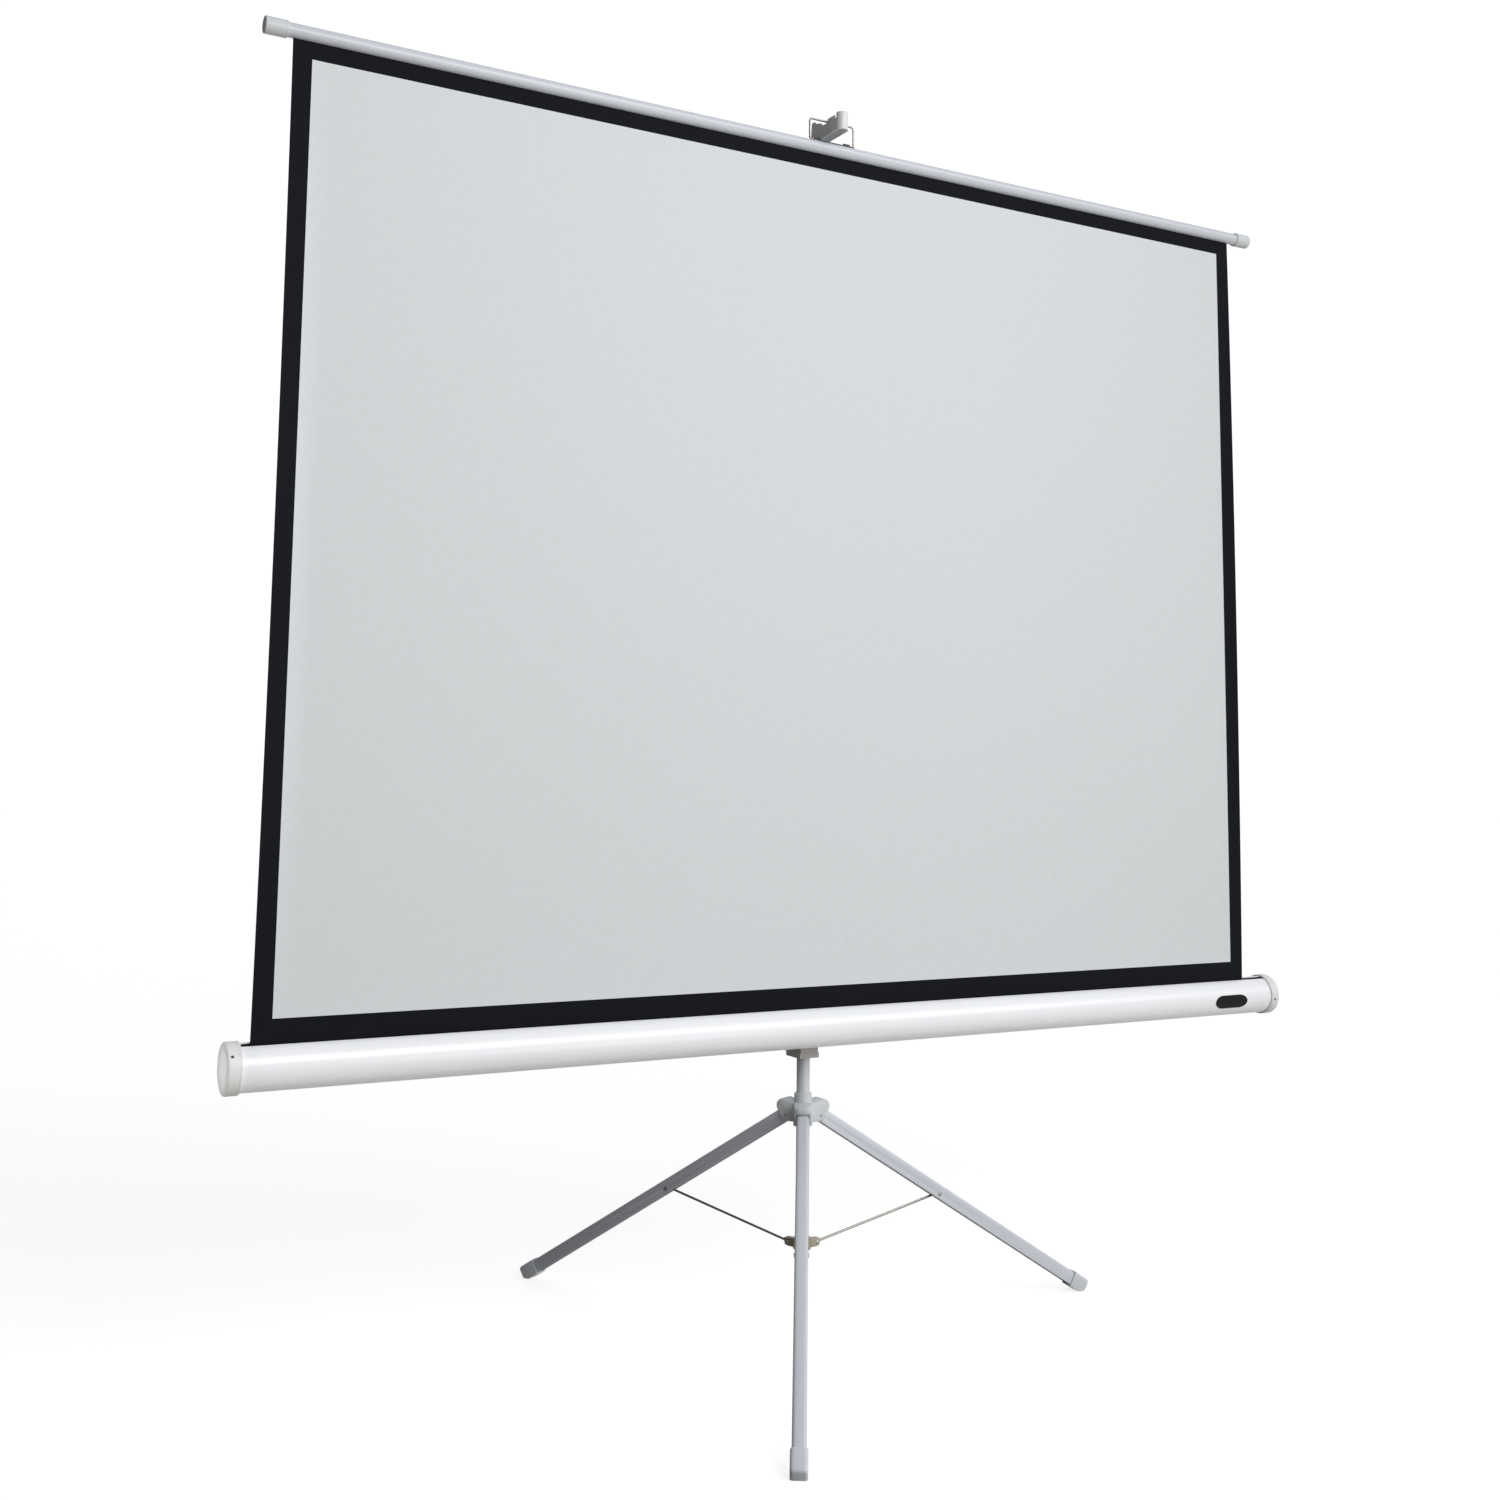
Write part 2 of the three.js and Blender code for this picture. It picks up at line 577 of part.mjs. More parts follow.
function endCap(profile, x, side, segments = 36) {
  const cap = turned(profile, segments).rotateY(side > 0 ? -Math.PI / 2 : Math.PI / 2);
  return cap.translate(x, CASE_Y, CASE_Z);
}

function buildCase() {
  const left = CASE_LEFT + CAP_END + CLEARANCE;
  const right = CASE_RIGHT - CAP_END - CLEARANCE;
  add('case_tube', acrossX(caseShape(), left, right), 'gloss_white');
  const profile = capShape(CAP_OUTER, CASE_RADIUS + CLEARANCE, CAP_DEPTH, CAP_END, CAP_ROUND);
  const hole = alongX(rod(SPINDLE_RADIUS + CLEARANCE, -9, 9, 20));
  const leftHole = hole.clone().translate(CASE_LEFT + CAP_END, ROLLER_Y, CASE_Z);
  const rightHole = hole.clone().translate(CASE_RIGHT - CAP_END, ROLLER_Y, CASE_Z);
  add('case_cap_left', cut(endCap(profile, CASE_LEFT, -1), leftHole), 'cap_white');
  add('case_cap_right', cut(endCap(profile, CASE_RIGHT, 1), rightHole), 'cap_white');
}

// Roller, its plugs, the cloth left wound on it and the spring motor inside the right end.
function buildRoller() {
  const inner = ROLLER_RADIUS - ROLLER_WALL;
  const left = CASE_LEFT + CAP_END + ROLLER_END_GAP;
  const right = CASE_RIGHT - CAP_END - ROLLER_END_GAP;
  const onAxis = (geometry) => alongX(geometry).translate(0, ROLLER_Y, CASE_Z);
  add('roller_tube', onAxis(tube(ROLLER_RADIUS, inner, left, right)), 'inner');
  const wraps = tube(WRAP_RADIUS, ROLLER_RADIUS + CLEARANCE / 2, -CLOTH_HALF, CLOTH_HALF);
  add('cloth_wraps', onAxis(wraps), 'cloth');
  const plug = (outside, inside, bore) => {
    const way = Math.sign(inside - outside);
    const lip = outside - 3 * way;
    const near = outside - CLEARANCE * way;
    return turned([
      [bore, lip], [ROLLER_RADIUS, lip], [ROLLER_RADIUS, near], [inner - CLEARANCE, near],
      [inner - CLEARANCE, inside], [bore, inside], [bore, lip],
    ], 20);
  };
  const bore = SPINDLE_RADIUS + CLEARANCE;
  add('roller_plug_left', onAxis(plug(left, left + ROLLER_PLUG_LENGTH, bore)), 'plastic_grey');
  add('roller_plug_right', onAxis(plug(right, right - ROLLER_PLUG_LENGTH, bore)), 'plastic_grey');
  add('idle_pin', onAxis(rod(SPINDLE_RADIUS, CASE_LEFT + 1, left + ROLLER_PLUG_LENGTH - 6, 16)), 'steel');

  const springEnd = right - ROLLER_PLUG_LENGTH - 6;
  const springStart = springEnd - SPRING_LENGTH;
  const anchorLength = 14;
  const anchorLow = springStart - anchorLength;
  add('spring_anchor', onAxis(turned([
    [0, anchorLow], [inner - CLEARANCE, anchorLow], [inner - CLEARANCE, springStart - 4],
    [SPRING_COIL_RADIUS - SPRING_WIRE - CLEARANCE, springStart - 4],
    [SPRING_COIL_RADIUS - SPRING_WIRE - CLEARANCE, springStart + 12], [0, springStart + 12],
  ], 24)), 'plastic_grey');
  add('spring_shaft', onAxis(rod(SPINDLE_RADIUS, springStart + 14, CASE_RIGHT - 1, 16)), 'steel');
  class CoilCurve extends THREE.Curve {
    getPoint(t, target = new THREE.Vector3()) {
      const angle = 2 * Math.PI * SPRING_TURNS * t;
      const x = springStart + SPRING_WIRE + (SPRING_LENGTH - 2 * SPRING_WIRE) * t;
      return target.set(x, SPRING_COIL_RADIUS * Math.cos(angle), SPRING_COIL_RADIUS * Math.sin(angle));
    }
  }
  const wire = new THREE.Shape();
  for (let i = 0; i < 4; i += 1) {
    const angle = (i + 0.5) * Math.PI / 2;
    const [x, y] = [SPRING_WIRE * Math.cos(angle), SPRING_WIRE * Math.sin(angle)];
    if (i === 0) {
      wire.moveTo(x, y);
    } else {
      wire.lineTo(x, y);
    }
  }
  const coil = new THREE.ExtrudeGeometry(wire, {
    steps: SPRING_TURNS * 10, bevelEnabled: false, extrudePath: new CoilCurve(),
  });
  add('roller_spring', coil.translate(0, ROLLER_Y, CASE_Z), 'steel');
}

// Cloth: a taut sheet whose side hems roll forward a little, with a bead along its top edge.
function buildCloth() {
  const low = CASE_Z;
  const high = BATTEN_Z;
  const across = [-CLOTH_HALF];
  for (let i = 1; i <= 4; i += 1) {
    across.push(-CLOTH_HALF + CURL_REACH * i / 4);
  }
  across.push(-CLOTH_HALF / 2, 0, CLOTH_HALF / 2);
  for (let i = 4; i >= 0; i -= 1) {
    across.push(CLOTH_HALF - CURL_REACH * i / 4);
  }
  const up = [low, CASE_LIP_HEIGHT + 2];
  for (let i = 1; i < 10; i += 1) {
    up.push(CASE_LIP_HEIGHT + 2 + (CLOTH_TOP - CASE_LIP_HEIGHT - 4) * i / 10);
  }
  up.push(CLOTH_TOP - 2, high);
  const curl = (x, z) => {
    const share = (z - CASE_LIP_HEIGHT) / (CLOTH_TOP - CASE_LIP_HEIGHT);
    const edge = Math.max(0, (Math.abs(x) - CLOTH_HALF + CURL_REACH) / CURL_REACH);
    const depth = x < 0 ? CLOTH_CURL_LEFT : CLOTH_CURL_RIGHT;
    const bow = share <= 0 || share >= 1 ? 0 : Math.sin(Math.PI * share) ** 0.8;
    return depth * bow * edge ** 2;
  };
  const positions = [];
  const faces = [];
  for (const side of [-1, 1]) {
    for (const z of up) {
      for (const x of across) {
        positions.push(x, -CLOTH_SETBACK - curl(x, z) + side * CLOTH_THICKNESS / 2, z);
      }
    }
  }
  const columns = across.length;
  const rows = up.length;
  const at = (face, row, column) => face * columns * rows + row * columns + column;
  const quad = (a, b, c, d) => faces.push(a, b, c, a, c, d);
  for (let row = 0; row < rows - 1; row += 1) {
    for (let column = 0; column < columns - 1; column += 1) {
      quad(at(0, row, column), at(0, row, column + 1), at(0, row + 1, column + 1), at(0, row + 1, column));
      quad(at(1, row, column), at(1, row + 1, column), at(1, row + 1, column + 1), at(1, row, column + 1));
    }
  }
  for (let row = 0; row < rows - 1; row += 1) {
    quad(at(0, row, 0), at(0, row + 1, 0), at(1, row + 1, 0), at(1, row, 0));
    const last = columns - 1;
    quad(at(0, row, last), at(1, row, last), at(1, row + 1, last), at(0, row + 1, last));
  }
  for (let column = 0; column < columns - 1; column += 1) {
    quad(at(0, 0, column), at(1, 0, column), at(1, 0, column + 1), at(0, 0, column + 1));
    const last = rows - 1;
    quad(at(0, last, column), at(0, last, column + 1), at(1, last, column + 1), at(1, last, column));
  }
  const sheet = new THREE.BufferGeometry();
  sheet.setAttribute('position', new THREE.BufferAttribute(new Float32Array(positions), 3));
  sheet.setIndex(faces);
  const bead = alongX(rod(BEAD_RADIUS, -CLOTH_HALF, CLOTH_HALF, 12)).translate(0, -CLOTH_SETBACK, BATTEN_Z);
  add('cloth', joined(sheet, bead), 'cloth');
}

// Batten: a slotted tube over the cloth's bead, capped at both ends.
function buildBatten() {
  const left = BATTEN_LEFT + BATTEN_CAP_END + CLEARANCE;
  const right = BATTEN_RIGHT - BATTEN_CAP_END - CLEARANCE;
  const inner = BATTEN_RADIUS - BATTEN_WALL;
  const gap = CLOTH_THICKNESS / 2 + RUNNING_CLEARANCE;
  const onAxis = (geometry) => alongX(geometry).translate(0, -CLOTH_SETBACK, BATTEN_Z);
  const round = onAxis(tube(BATTEN_RADIUS, inner, left, right));
  const slot = block(
    left - BATTEN_RADIUS, right + BATTEN_RADIUS, -CLOTH_SETBACK - gap, -CLOTH_SETBACK + gap,
    BATTEN_Z - 2 * BATTEN_RADIUS, BATTEN_Z);
  const seat = block(-BAIL_PLATE_HALF - 1, BAIL_PLATE_HALF + 1, -CLOTH_SETBACK - 20, -CLOTH_SETBACK + 20,
    BAIL_PLATE_Z - CLEARANCE, BAIL_PLATE_Z + 20);
  add('batten_tube', cut(round, slot, seat), 'gloss_white');
  const outer = BATTEN_RADIUS + CLEARANCE + BATTEN_CAP_WALL;
  const profile = capShape(outer, BATTEN_RADIUS + CLEARANCE, BATTEN_CAP_LENGTH, BATTEN_CAP_END, 1.5);
  const mouth = block(-BATTEN_CAP_LENGTH, BATTEN_CAP_LENGTH, -gap, gap, -BATTEN_RADIUS - 20, 0);
  const ends = [['batten_cap_left', -1, BATTEN_LEFT], ['batten_cap_right', 1, BATTEN_RIGHT]];
  for (const [name, side, x] of ends) {
    const cap = turned(profile).rotateY(side > 0 ? -Math.PI / 2 : Math.PI / 2);
    const room = mouth.clone().translate(-side * (BATTEN_CAP_END + 1 + BATTEN_CAP_LENGTH), 0, 0);
    add(name, cut(cap, room).translate(x, -CLOTH_SETBACK, BATTEN_Z), 'cap_white');
  }
}

// Bail plate with two knuckles, and the wire bail that swings in them.
function buildBail() {
  const y = -CLOTH_SETBACK;
  const top = BAIL_PLATE_Z + BAIL_PLATE_THICKNESS;
  const plate = block(-BAIL_PLATE_HALF, BAIL_PLATE_HALF, y - BAIL_PLATE_DEPTH / 2, y + BAIL_PLATE_DEPTH / 2,
    BAIL_PLATE_Z, top);
  const middle = BAIL_HALF_WIDTH - BAIL_FOOT + KNUCKLE_WIDTH / 2 + 1;
  const knuckles = [-1, 1].map((side) => {
    const round = alongX(rod(BAIL_WIRE + CLEARANCE + 1.3, -KNUCKLE_WIDTH / 2, KNUCKLE_WIDTH / 2, 16));
    return round.translate(side * middle, y, BAIL_FOOT_Z);
  });
  const bores = [-1, 1].map((side) => {
    const bore = alongX(rod(BAIL_WIRE + CLEARANCE, -BAIL_FOOT, BAIL_FOOT, 16));
    return bore.translate(side * (BAIL_HALF_WIDTH - BAIL_FOOT / 2 + 8), y, BAIL_FOOT_Z);
  });
  add('bail_plate', cut(joined(plate, ...knuckles), ...bores), 'dark_steel');
  const corner = (x, z) => new THREE.Vector3(x, y, z);
  const path = new THREE.CurvePath();
  const low = BAIL_FOOT_Z;
  const high = BAIL_BAR_Z;
  const w = BAIL_HALF_WIDTH;
  const tight = BAIL_WIRE * 2;
  const line = (a, b) => path.add(new THREE.LineCurve3(a, b));
  const bend = (a, b, c) => path.add(new THREE.QuadraticBezierCurve3(a, b, c));
  line(corner(-w + BAIL_FOOT, low), corner(-w + tight, low));
  bend(corner(-w + tight, low), corner(-w, low), corner(-w, low + tight));
  line(corner(-w, low + tight), corner(-w, high - BAIL_BEND));
  bend(corner(-w, high - BAIL_BEND), corner(-w, high), corner(-w + BAIL_BEND, high));
  line(corner(-w + BAIL_BEND, high), corner(w - BAIL_BEND, high));
  bend(corner(w - BAIL_BEND, high), corner(w, high), corner(w, high - BAIL_BEND));
  line(corner(w, high - BAIL_BEND), corner(w, low + tight));
  bend(corner(w, low + tight), corner(w, low), corner(w - tight, low));
  line(corner(w - tight, low), corner(w - BAIL_FOOT, low));
  const section = new THREE.Shape().absarc(0, 0, BAIL_WIRE, 0, 2 * Math.PI);
  add('bail_wire', new THREE.ExtrudeGeometry(section, {
    steps: 44, curveSegments: 4, bevelEnabled: false, extrudePath: path,
  }), 'steel');
}

// Mast with its glide foot and plug.
function buildMast() {
  const inner = MAST_RADIUS - MAST_WALL;
  const poleInner = POLE_RADIUS - POLE_WALL;
  const rivets = armRivets().map((z) => crossPin(ARM_RIVET_RADIUS + CLEARANCE, 60, 0, z));
  add('mast_tube', cut(tube(MAST_RADIUS, inner, MAST_BOTTOM, MAST_TOP), ...rivets), 'leg_white');
  add('mast_foot', turned([
    [0, MAST_BOTTOM - GLIDE_HEIGHT], [poleInner - CLEARANCE, MAST_BOTTOM - GLIDE_HEIGHT],
    [poleInner - CLEARANCE, MAST_BOTTOM - CLEARANCE], [inner - CLEARANCE, MAST_BOTTOM - CLEARANCE],
    [inner - CLEARANCE, MAST_BOTTOM + GLIDE_STEM], [0, MAST_BOTTOM + GLIDE_STEM],
  ]), 'plastic_grey');
  add('mast_plug', turned([
    [0, MAST_TOP - 6], [inner - CLEARANCE, MAST_TOP - 6], [inner - CLEARANCE, MAST_TOP + CLEARANCE],
    [MAST_RADIUS, MAST_TOP + CLEARANCE], [MAST_RADIUS, MAST_TOP + 2], [MAST_RADIUS - 2, MAST_TOP + 4],
    [0, MAST_TOP + 4],
  ]), 'plastic_grey');
}

function armRivets() {
  return [MAST_TOP - ARM_RIVET_DROP, MAST_TOP - ARM_RIVET_DROP - ARM_RIVET_PITCH];
}

// Hook arm: one strip bent round a nose, its two cheeks riveted to the mast. The bail's bar lies in the
// seat behind the lip; the notch behind the nose is a second place for it.
function armShape() {
  const bar = -CLOTH_SETBACK;
  const low = ARM_SEAT - ARM_DROP;
  const lip = ARM_SEAT + ARM_LIP_RISE;
  const crest = ARM_SEAT + ARM_REAR_RISE;
  const back = MAST_RADIUS + 3;
  const rear = -ARM_REAR_GAP;
  const seatEnd = bar + ARM_SEAT_LENGTH;
  return shapeOf([
    [back, MAST_TOP - ARM_TAIL], [back, MAST_TOP + 2], [back - 6, MAST_TOP + 7],
    [rear + 6, ARM_SEAT - ARM_DROP / 2], [rear, ARM_SEAT - 6], [rear - 2, crest], [rear - 15, crest - 1],
    [rear - 17, crest - 6], [rear - 20, crest - 6], [seatEnd + 9, lip], [seatEnd, ARM_SEAT - ARM_SEAT_FALL],
    [bar - BAIL_WIRE, ARM_SEAT],
    [bar - BAIL_WIRE - 1, ARM_SEAT + 1], [bar - BAIL_WIRE - 2, lip], [ARM_NOSE + 19, lip],
    [ARM_NOSE + 18, ARM_SEAT - 1], [ARM_NOSE + 13.5, ARM_SEAT - 1], [ARM_NOSE + 13, ARM_SEAT + ARM_NOSE_RISE],
    [ARM_NOSE, ARM_SEAT + ARM_NOSE_RISE], [ARM_NOSE, low], [rear, low + 1], [-back, MAST_TOP],
    [-back, MAST_TOP - ARM_TAIL],
  ]);
}

function buildArm() {
  const low = MAST_TOP - 2 * ARM_TAIL;
  const high = ARM_SEAT + 2 * ARM_REAR_RISE;
  const open = CLOTH_SETBACK;
  const plan = (radius) => {
    const shape = new THREE.Shape();
    const centre = ARM_NOSE + ARM_HALF;
    shape.moveTo(radius, open);
    shape.lineTo(-radius, open);
    shape.lineTo(-radius, centre);
    shape.absarc(0, centre, radius, Math.PI, 2 * Math.PI, false);
    shape.lineTo(radius, open);
    return extruded(shape, high - low, 10).translate(0, 0, low);
  };
  const slab = acrossX(armShape(), -ARM_HALF, ARM_HALF);
  const holes = armRivets().map((z) => crossPin(ARM_RIVET_RADIUS + CLEARANCE, 60, 0, z));
  add('hook_arm', cut(common(slab, plan(ARM_HALF)), plan(ARM_HALF - ARM_SHEET), ...holes), 'leg_white');
  armRivets().forEach((z, index) => {
    const rivet = rivetOf(ARM_RIVET_RADIUS, ARM_RIVET_RADIUS + 2, ARM_RIVET_HEAD, ARM_HALF + CLEARANCE);
    add(index === 0 ? 'arm_rivet_upper' : 'arm_rivet_lower', rivet.translate(0, 0, z), 'steel');
  });
}

// Bracket that turns on a bush round the pole, with a saddle for the case and a release lever.
function leverPin() {
  return { y: BUSH_RADIUS + CLEARANCE + 7, z: BRACKET_LOW + 50 };
}

function buildBracket() {
  const front = -(BUSH_RADIUS + CLEARANCE + 6);
  const half = BRACKET_WIDTH / 2;
  const bore = BUSH_RADIUS + CLEARANCE;
  const bush = tube(BUSH_RADIUS, POLE_RADIUS + CLEARANCE, BRACKET_LOW + 1, BRACKET_TOP - 1);
  add('bracket_bush', bush, 'plastic_grey');

  const plan = (grow) => {
    const side = half + grow;
    const back = BRACKET_BACK + grow;
    const shape = new THREE.Shape();
    shape.moveTo(-side, front);
    shape.lineTo(side, front);
    shape.lineTo(side, back - BRACKET_CORNER);
    shape.quadraticCurveTo(side, back, side - BRACKET_CORNER, back);
    shape.lineTo(-side + BRACKET_CORNER, back);
    shape.quadraticCurveTo(-side, back, -side, back - BRACKET_CORNER);
    return shape;
  };
  const column = extruded(plan(0), BRACKET_HEIGHT, 5).translate(0, 0, BRACKET_LOW);
  const flange = extruded(plan(BRACKET_FLANGE), BRACKET_FLANGE_HEIGHT, 5).translate(0, 0, BRACKET_LOW);
  const body = joined(column, flange);
  const pivot = leverPin();
  const leverRoom = LEVER_WIDTH / 2 + RUNNING_CLEARANCE;
  const rearSlot = block(-leverRoom, leverRoom, bore + 1.2, BRACKET_BACK + 10, BRACKET_LOW - 5, pivot.z + 12);
  const pinHole = crossPin(PIN_RADIUS + CLEARANCE, BRACKET_WIDTH + 10, -pivot.y, pivot.z);
  const boltHole = alongY(rod(SWIVEL_RADIUS + CLEARANCE, front - 5, -bore + 2, 16)).translate(0, 0, CASE_Z);
  add('case_bracket', cut(body, rod(bore, BRACKET_LOW - 5, BRACKET_TOP + 5), rearSlot, pinHole, boltHole),
    'plastic_grey');

  const saddleBack = front - CLEARANCE;
  const slab = block(-SADDLE_HALF_WIDTH, SADDLE_HALF_WIDTH, CASE_Y + CASE_RADIUS * 0.5, saddleBack,
    CASE_Z - SADDLE_HALF_HEIGHT, CASE_Z + SADDLE_HALF_HEIGHT);
  const cradle = alongX(rod(CASE_RADIUS + CLEARANCE, -SADDLE_HALF_WIDTH - 5, SADDLE_HALF_WIDTH + 5, 56))
    .translate(0, CASE_Y, CASE_Z);
  const headFace = CASE_Y + CASE_RADIUS + CLEARANCE;
  const saddleBolt = alongY(rod(SWIVEL_RADIUS + CLEARANCE, headFace - 10, front + 5, 16));
  add('case_saddle', cut(slab, cradle, saddleBolt.translate(0, 0, CASE_Z)), 'cap_white');
  const bolt = alongY(rod(SWIVEL_RADIUS, headFace + CLEARANCE, -bore - CLEARANCE, 16));
  add('swivel_bolt', bolt.translate(0, 0, CASE_Z), 'steel');

  const y0 = bore + 1.2 + RUNNING_CLEARANCE;
  const low = BRACKET_LOW + 2;
  const tip = BRACKET_BACK + LEVER_GRIP;
  const lever = shapeOf([
    [y0 + 3.5, pivot.z + 7], [y0, pivot.z - 2], [y0, low + 16], [y0 + 2, low], [y0 + 12, low], [tip, low + 6],
    [tip + 3, low + 11], [tip, low + 15], [y0 + 18, low + 13], [y0 + 12, low + 20], [pivot.y + 6, pivot.z],
    [pivot.y + 4, pivot.z + 6],
  ]);
  const leverHole = crossPin(PIN_RADIUS + CLEARANCE, 60, -pivot.y, pivot.z);
  add('release_lever', cut(acrossX(lever, -LEVER_WIDTH / 2, LEVER_WIDTH / 2), leverHole), 'plastic_grey');
  add('lever_pin', crossPin(PIN_RADIUS, BRACKET_WIDTH - 1, -pivot.y, pivot.z), 'steel');
}

buildPole();
buildClamp();
buildHub();
LEG_NAMES.forEach(buildLeg);
LEG_NAMES.forEach(buildBrace);
buildBracket();
buildCase();
buildRoller();
buildCloth();
buildBatten();
buildBail();
buildMast();
buildArm();

// Stand the object with the middle of its footprint on the origin.
const bounds = new THREE.Box3().setFromObject(root);
const centre = bounds.getCenter(new THREE.Vector3());
root.position.set(-centre.x, -centre.y, -bounds.min.z);
root.updateMatrixWorld(true);

export default root;
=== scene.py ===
"""Dress the tripod projection screen: a roller case and its cloth on a folding tripod.

All sizes are in metres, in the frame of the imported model.
"""

import logging
import math
from dataclasses import dataclass, field
from enum import Enum

import bmesh
import bpy
from mathutils import Matrix, Vector


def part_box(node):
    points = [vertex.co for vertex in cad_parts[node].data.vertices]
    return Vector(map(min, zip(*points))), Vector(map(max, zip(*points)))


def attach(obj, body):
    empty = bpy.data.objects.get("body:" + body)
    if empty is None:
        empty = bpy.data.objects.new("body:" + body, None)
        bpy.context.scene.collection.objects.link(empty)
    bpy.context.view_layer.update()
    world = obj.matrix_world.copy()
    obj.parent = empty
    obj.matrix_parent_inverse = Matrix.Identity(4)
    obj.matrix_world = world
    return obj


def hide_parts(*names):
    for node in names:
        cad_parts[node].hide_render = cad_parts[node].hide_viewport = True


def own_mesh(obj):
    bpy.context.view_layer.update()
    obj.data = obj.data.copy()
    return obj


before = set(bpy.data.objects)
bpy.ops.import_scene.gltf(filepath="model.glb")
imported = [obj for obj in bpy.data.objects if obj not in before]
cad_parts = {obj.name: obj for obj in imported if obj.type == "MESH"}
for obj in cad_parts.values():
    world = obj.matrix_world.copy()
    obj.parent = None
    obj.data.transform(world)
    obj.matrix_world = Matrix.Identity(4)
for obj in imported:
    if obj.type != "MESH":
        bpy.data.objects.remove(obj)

LOG = logging.getLogger("projection_screen")

Point = tuple[float, float, float]
Colour = tuple[float, float, float]
Profile = list[tuple[float, float]]

LEG_NAMES = ("front", "right", "left")
SOLE_FACING = -0.95


class Along(Enum):
    """Axis that a turned piece is turned about."""

    X = 0
    Y = 1
    Z = 2


class NodeTree:
    """A node group under construction, with short ways to add sockets, nodes and links."""

    def __init__(self, name: str, kind: str) -> None:
        """Start an empty group.

        Args:
            name: The group's name.
            kind: Blender's tree type.
        """
        self.tree = bpy.data.node_groups.new(name, kind)

    def socket(self, name: str, kind: str, way: str = "INPUT", value: object = None) -> str:
        """Add an interface socket.

        Args:
            name: The socket's name.
            kind: Blender's socket type.
            way: INPUT or OUTPUT.
            value: The default value, if the socket has one.

        Returns:
            The socket's identifier.
        """
        made = self.tree.interface.new_socket(name=name, in_out=way, socket_type=kind)
        if value is not None:
            made.default_value = value
        return made.identifier

    def node(self, kind: str, **settings: object) -> bpy.types.Node:
        """Add a node.

        Args:
            kind: Blender's node type.
            **settings: Properties to set on it.

        Returns:
            The new node.
        """
        made = self.tree.nodes.new(kind)
        for key, value in settings.items():
            setattr(made, key, value)
        return made

    def link(self, source: bpy.types.NodeSocket, target: bpy.types.NodeSocket) -> None:
        """Join two sockets."""
        self.tree.links.new(source, target)

    def math(self, operation: str, first: object, second: object = None) -> bpy.types.NodeSocket:
        """Add a Math node.

        Args:
            operation: The node's operation.
            first: A socket or a number.
            second: A socket, a number or None.

        Returns:
            The node's result.
        """
        made = self.node("ShaderNodeMath", operation=operation)
        for place, value in enumerate((first, second)):
            if isinstance(value, bpy.types.NodeSocket):
                self.link(value, made.inputs[place])
            elif value is not None:
                made.inputs[place].default_value = value
        return made.outputs[0]


def mottle_group() -> bpy.types.NodeTree:
    """Build the slow change of colour and gloss over a coat or a moulding.

    Returns:
        A shader group with Color and Roughness outputs.
    """
    build = NodeTree("coat_mottle", "ShaderNodeTree")
    build.socket("Vector", "NodeSocketVector")
    build.socket("Scale", "NodeSocketFloat", value=8.0)
    build.socket("Color", "NodeSocketColor", value=(0.8, 0.8, 0.8, 1.0))
    build.socket("Shade", "NodeSocketColor", value=(0.7, 0.7, 0.7, 1.0))
    build.socket("Amount", "NodeSocketFloat", value=0.3)
    build.socket("Roughness", "NodeSocketFloat", value=0.4)
    build.socket("Spread", "NodeSocketFloat", value=0.1)
    build.socket("Color", "NodeSocketColor", "OUTPUT")
    build.socket("Roughness", "NodeSocketFloat", "OUTPUT")
    inlet = build.node("NodeGroupInput")
    outlet = build.node("NodeGroupOutput")
    slow = build.node("ShaderNodeTexNoise")
    slow.inputs["Detail"].default_value = 3.0
    build.link(inlet.outputs["Vector"], slow.inputs["Vector"])
    build.link(inlet.outputs["Scale"], slow.inputs["Scale"])
    fine = build.node("ShaderNodeTexNoise")
    fine.inputs["Detail"].default_value = 4.0
    build.link(inlet.outputs["Vector"], fine.inputs["Vector"])
    build.link(build.math("MULTIPLY", inlet.outputs["Scale"], 9.0), fine.inputs["Scale"])
    blend = build.node("ShaderNodeMix", data_type="RGBA")
    build.link(build.math("MULTIPLY", slow.outputs["Fac"], inlet.outputs["Amount"]), blend.inputs["Factor"])
    build.link(inlet.outputs["Color"], blend.inputs[6])
    build.link(inlet.outputs["Shade"], blend.inputs[7])
    build.link(blend.outputs[2], outlet.inputs["Color"])
    swing = build.math("SUBTRACT", fine.outputs["Fac"], 0.5)
    step = build.math("MULTIPLY", swing, inlet.outputs["Spread"])
    build.link(build.math("ADD", inlet.outputs["Roughness"], step), outlet.inputs["Roughness"])
    return build.tree


